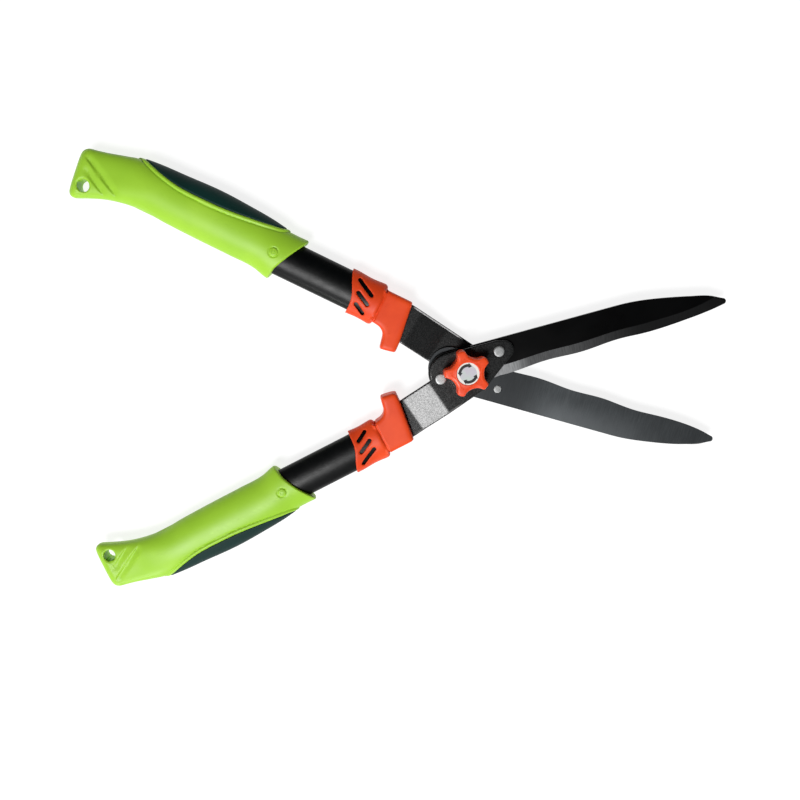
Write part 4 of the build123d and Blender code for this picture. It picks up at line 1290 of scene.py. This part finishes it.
# ---------------------------------------------------------------------- pivot
@dataclass
class Pivot:
    """Knob, its label and the rivets about the pivot."""

    knob_bottom: float = 22.3
    label_top: float = 36.2
    knob_star: tuple[int, float, float] = (5, 18.6, 12.8)       # lobes, tip radius, valley radius
    knob_rows: tuple[Row, ...] = (
        (0.0, 0.0, 0.0, 11.2), (4.6, 0.0, 0.0, 11.2), (4.6, 0.0, 0.0, 6.55), (7.6, 0.0, 0.0, 6.55),
        (7.6, 0.0, 0.0, 0.0), (0.0, 0.7, 1.0, 0.0), (0.0, 0.2, 1.0, 0.2), (0.0, 0.0, 1.0, 0.7),
        (0.0, 0.0, 1.0, 3.5), (0.0, 0.0, 1.0, 7.0), (0.0, 0.0, 1.0, 10.0), *quarter_round(2.0, 12.0, 7),
        (10.6, 2.3, 0.7, 14.17), (10.2, 2.4, 0.35, 14.12), (10.0, 0.0, 0.0, 14.08), (9.6, 0.0, 0.0, 14.2),
        (9.2, 0.0, 0.0, 14.16), (8.95, 0.0, 0.0, 13.95), (8.86, 0.0, 0.0, 13.7), (8.86, 0.0, 0.0, 13.0),
        (0.0, 0.0, 0.0, 13.0))
    rivet_rows: tuple[Row, ...] = (
        (0.0, 0.0, 0.0, 0.1), (2.7, 0.0, 0.0, 0.1), (2.9, 0.0, 0.0, 0.12), (3.08, 0.0, 0.0, 0.2),
        (3.15, 0.0, 0.0, 0.35), (3.15, 0.0, 0.0, 5.7),
        (4.3, 0.0, 0.0, 5.9), (4.5, 0.0, 0.0, 6.1), (4.5, 0.0, 0.0, 6.35), (4.42, 0.0, 0.0, 6.6),
        (4.2, 0.0, 0.0, 6.8), (3.7, 0.0, 0.0, 6.93), (3.0, 0.0, 0.0, 6.98), (1.5, 0.0, 0.0, 7.0),
        (0.0, 0.0, 0.0, 7.0))

    def build(self) -> None:
        """Build the knob, the label's arrows and the rivets of both arms."""
        shape = TurnedShape("star_grip", self.knob_rows, 400, Rack.KNOB, False, *self.knob_star)
        knob = shape.graph().make(shape.name, [(0.0, 0.0, self.knob_bottom * MM)], 48.0)
        fit(knob, "knob", "star_knob")
        self.make_arrows()
        for side in Side:
            self.make_rivets(side)

    def make_rivets(self, side: Side) -> None:
        """Rivets of one arm, with their heads on the tang plate."""
        shape = TurnedShape(f"{side.prefix}_rivets", self.rivet_rows, 64, Rack.RIVET, side is Side.BACK)
        x, y = np.array(BLADE_RIVETS).T
        spots = ArmFrame(side).blade_place(x, y, np.zeros(len(x)))
        rivets = shape.graph().make(shape.name, spots, 50.0)
        fit(rivets, side.body, f"{side.prefix}_blade_rivets")

    def make_arrows(self) -> None:
        """Two bent arrows, each with a head at both ends, printed on the label."""
        points, faces = [], []
        for start, end in ((64.0, 196.0), (-126.0, -4.0)):
            self.add_arrow(points, faces, start, end)
        arrows = mesh_object("label_arrows", np.array(points) * MM, faces, False)
        dress(arrows, Rack.INK)
        fit(arrows, "knob")

    def add_arrow(self, points: list, faces: list, start: float, end: float) -> None:
        """Add one bent arrow to the lists.

        Args:
            points: points so far, mm.
            faces: faces so far.
            start: angle of one tip, degrees.
            end: angle of the other tip.
        """
        middle, half, head, head_half, thick = 6.6, 1.1, 24.0, 2.1, 0.06
        stations = [(start, 0.0), (start + head, head_half), (start + head, half)]
        stations += [(a, half) for a in np.linspace(start + head, end - head, 24)[1:-1]]
        stations += [(end - head, half), (end - head, head_half), (end, 0.0)]
        first = len(points)
        for level in (self.label_top - 0.05, self.label_top + thick):
            for angle, wide in stations:
                for radius in (middle - wide, middle + wide):
                    a = math.radians(angle)
                    points.append((radius * math.cos(a), radius * math.sin(a), level))
        count = len(stations)
        for i in range(count - 1):
            a, b = first + 2 * i, first + 2 * i + 2
            up = 2 * count
            faces += [(a, a + 1, b + 1, b), (a + up, b + up, b + 1 + up, a + 1 + up)]
            faces += [(a, b, b + up, a + up), (a + 1, a + 1 + up, b + 1 + up, b + 1)]


# ---------------------------------------------------------------------- studio
@dataclass
class SoftLight:
    """A square soft light that shines on the middle of the shears."""

    name: str
    towards: Triple
    distance: float
    size: float
    power: float
    target: Triple = (-0.02, 0.0, 0.0)

    def build(self) -> bpy.types.Object:
        """Make the light."""
        lamp = bpy.data.lights.new(self.name, "AREA")
        lamp.shape = "SQUARE"
        lamp.size = self.size
        lamp.energy = self.power
        light = bpy.data.objects.new(self.name, lamp)
        away = Vector(self.towards).normalized()
        light.location = Vector(self.target) + away * self.distance
        light.rotation_euler = away.to_track_quat("Z", "Y").to_euler()
        bpy.context.scene.collection.objects.link(light)
        return light


@dataclass(frozen=True)
class SkyRamp:
    """Brightness of the surroundings, which goes from one value to another along a direction."""

    direction: Triple
    low: float
    high: float
    at_low: float
    at_high: float


@dataclass
class Studio:
    """Pale floor, soft lights and the camera."""

    camera_place: Triple = (-0.07226, 0.07179, 0.63409)
    camera_turn: Triple = (-0.1516, -0.0321, -0.0144)     # axis times angle, radians
    lens: float = 34.796
    floor_half: float = 3.0
    floor_drop: float = 0.0004
    floor_glow: float = 0.84
    surround: tuple[SkyRamp, ...] = (
        SkyRamp((0.0, 0.0, 1.0), 0.55, 0.95, 0.68, 0.04),
        SkyRamp((0.0, 0.0, 1.0), 0.0, 0.40, 0.30, 1.0),
        SkyRamp((-0.45, -0.85, 0.0), -0.6, 0.7, 0.06, 0.85))
    lights: list[SoftLight] = field(default_factory=lambda: [
        SoftLight("key_light", (-0.25, -0.37, 0.90), 2.4, 0.82, 50.0),
        SoftLight("low_light", (-0.38, -0.87, 0.32), 2.2, 0.5, 12.0),
    ])

    def build(self) -> None:
        """Make the floor, the lights, the world and the camera."""
        self.make_floor()
        for light in self.lights:
            light.build()
        self.make_world()
        self.make_camera()

    def make_floor(self) -> None:
        """Plain pale sheet under the shears."""
        half = self.floor_half
        corners = [(-half, -half), (half, -half), (half, half), (-half, half)]
        points = np.array([(x, y, -self.floor_drop) for x, y in corners])
        floor = mesh_object("floor", points, [(0, 1, 2, 3)], False)
        shader = Shader("floor_paper")
        tone = shader.noise(3.0, 2.0)
        shader.set(Base_Color=shader.mix(tone, (0.24, 0.24, 0.24), (0.26, 0.26, 0.26)), Roughness=0.9)
        shader.set(Emission_Color=(1.0, 1.0, 1.0, 1.0), Emission_Strength=self.floor_glow)
        floor.data.materials.append(shader.material)

    def make_world(self) -> None:
        """White surroundings, dark overhead and dimmer behind the shears."""
        world = bpy.data.worlds.new("surroundings")
        world.use_nodes = True
        tree = world.node_tree
        tree.nodes.clear()
        background = tree.nodes.new("ShaderNodeBackground")
        output = tree.nodes.new("ShaderNodeOutputWorld")
        coords = tree.nodes.new("ShaderNodeTexCoord")
        strength = None
        for sky in self.surround:
            part = tree.nodes.new("ShaderNodeVectorMath")
            part.operation = "DOT_PRODUCT"
            part.inputs[1].default_value = sky.direction
            ramp = tree.nodes.new("ShaderNodeMapRange")
            ramp.interpolation_type = "SMOOTHSTEP"
            for socket, value in zip(ramp.inputs[1:5], (sky.low, sky.high, sky.at_low, sky.at_high)):
                socket.default_value = value
            tree.links.new(coords.outputs["Generated"], part.inputs[0])
            tree.links.new(part.outputs["Value"], ramp.inputs[0])
            if strength is None:
                strength = ramp.outputs[0]
            else:
                product = tree.nodes.new("ShaderNodeMath")
                product.operation = "MULTIPLY"
                tree.links.new(strength, product.inputs[0])
                tree.links.new(ramp.outputs[0], product.inputs[1])
                strength = product.outputs[0]
        background.inputs["Color"].default_value = (1.0, 1.0, 1.0, 1.0)
        tree.links.new(strength, background.inputs["Strength"])
        tree.links.new(background.outputs[0], output.inputs[0])
        bpy.context.scene.world = world
        bpy.context.scene.view_settings.view_transform = "Standard"

    def make_camera(self) -> None:
        """Camera over the shears, leaning a little."""
        lens = bpy.data.cameras.new("camera")
        lens.lens = self.lens
        lens.sensor_width = 36.0
        lens.clip_start = 0.01
        camera = bpy.data.objects.new("camera", lens)
        camera.location = self.camera_place
        turn = Vector(self.camera_turn)
        camera.rotation_mode = "QUATERNION"
        camera.rotation_quaternion = Matrix.Rotation(turn.length, 3, turn.normalized()).to_quaternion()
        bpy.context.scene.collection.objects.link(camera)
        bpy.context.scene.camera = camera


def dress_frame() -> None:
    """Finish every node that is shown as the solid model has it."""
    finishes = {"tube": Rack.TUBE, "tang_plug": Rack.NYLON, "tube_pins": Rack.ZINC}
    shared = {
        "pivot_bolt": Rack.ZINC, "back_washer": Rack.ZINC, "front_washer": Rack.ZINC,
        "disc_spring": Rack.SPRING, "knob_nut": Rack.ZINC, "knob_label": Rack.LABEL,
    }
    for side in Side:
        dress(frame["nodes"][f"{side.prefix}_blade"], BladeFinish(side))
        for part, finish in finishes.items():
            dress(frame["nodes"][f"{side.prefix}_{part}"], finish)
    for node, finish in shared.items():
        dress(frame["nodes"][node], finish)


def main() -> None:
    """Build the studio, then the shears."""
    logging.basicConfig(level=logging.INFO, format="%(message)s")
    Studio().build()
    dress_frame()
    for side in Side:
        Grip(side).build()
        Collar(side).build()
        SoftCopy(side, "tang", "tang_steel", TangFinish(side)).build()
    Pivot().build()


if __name__ == "__main__":
    main()
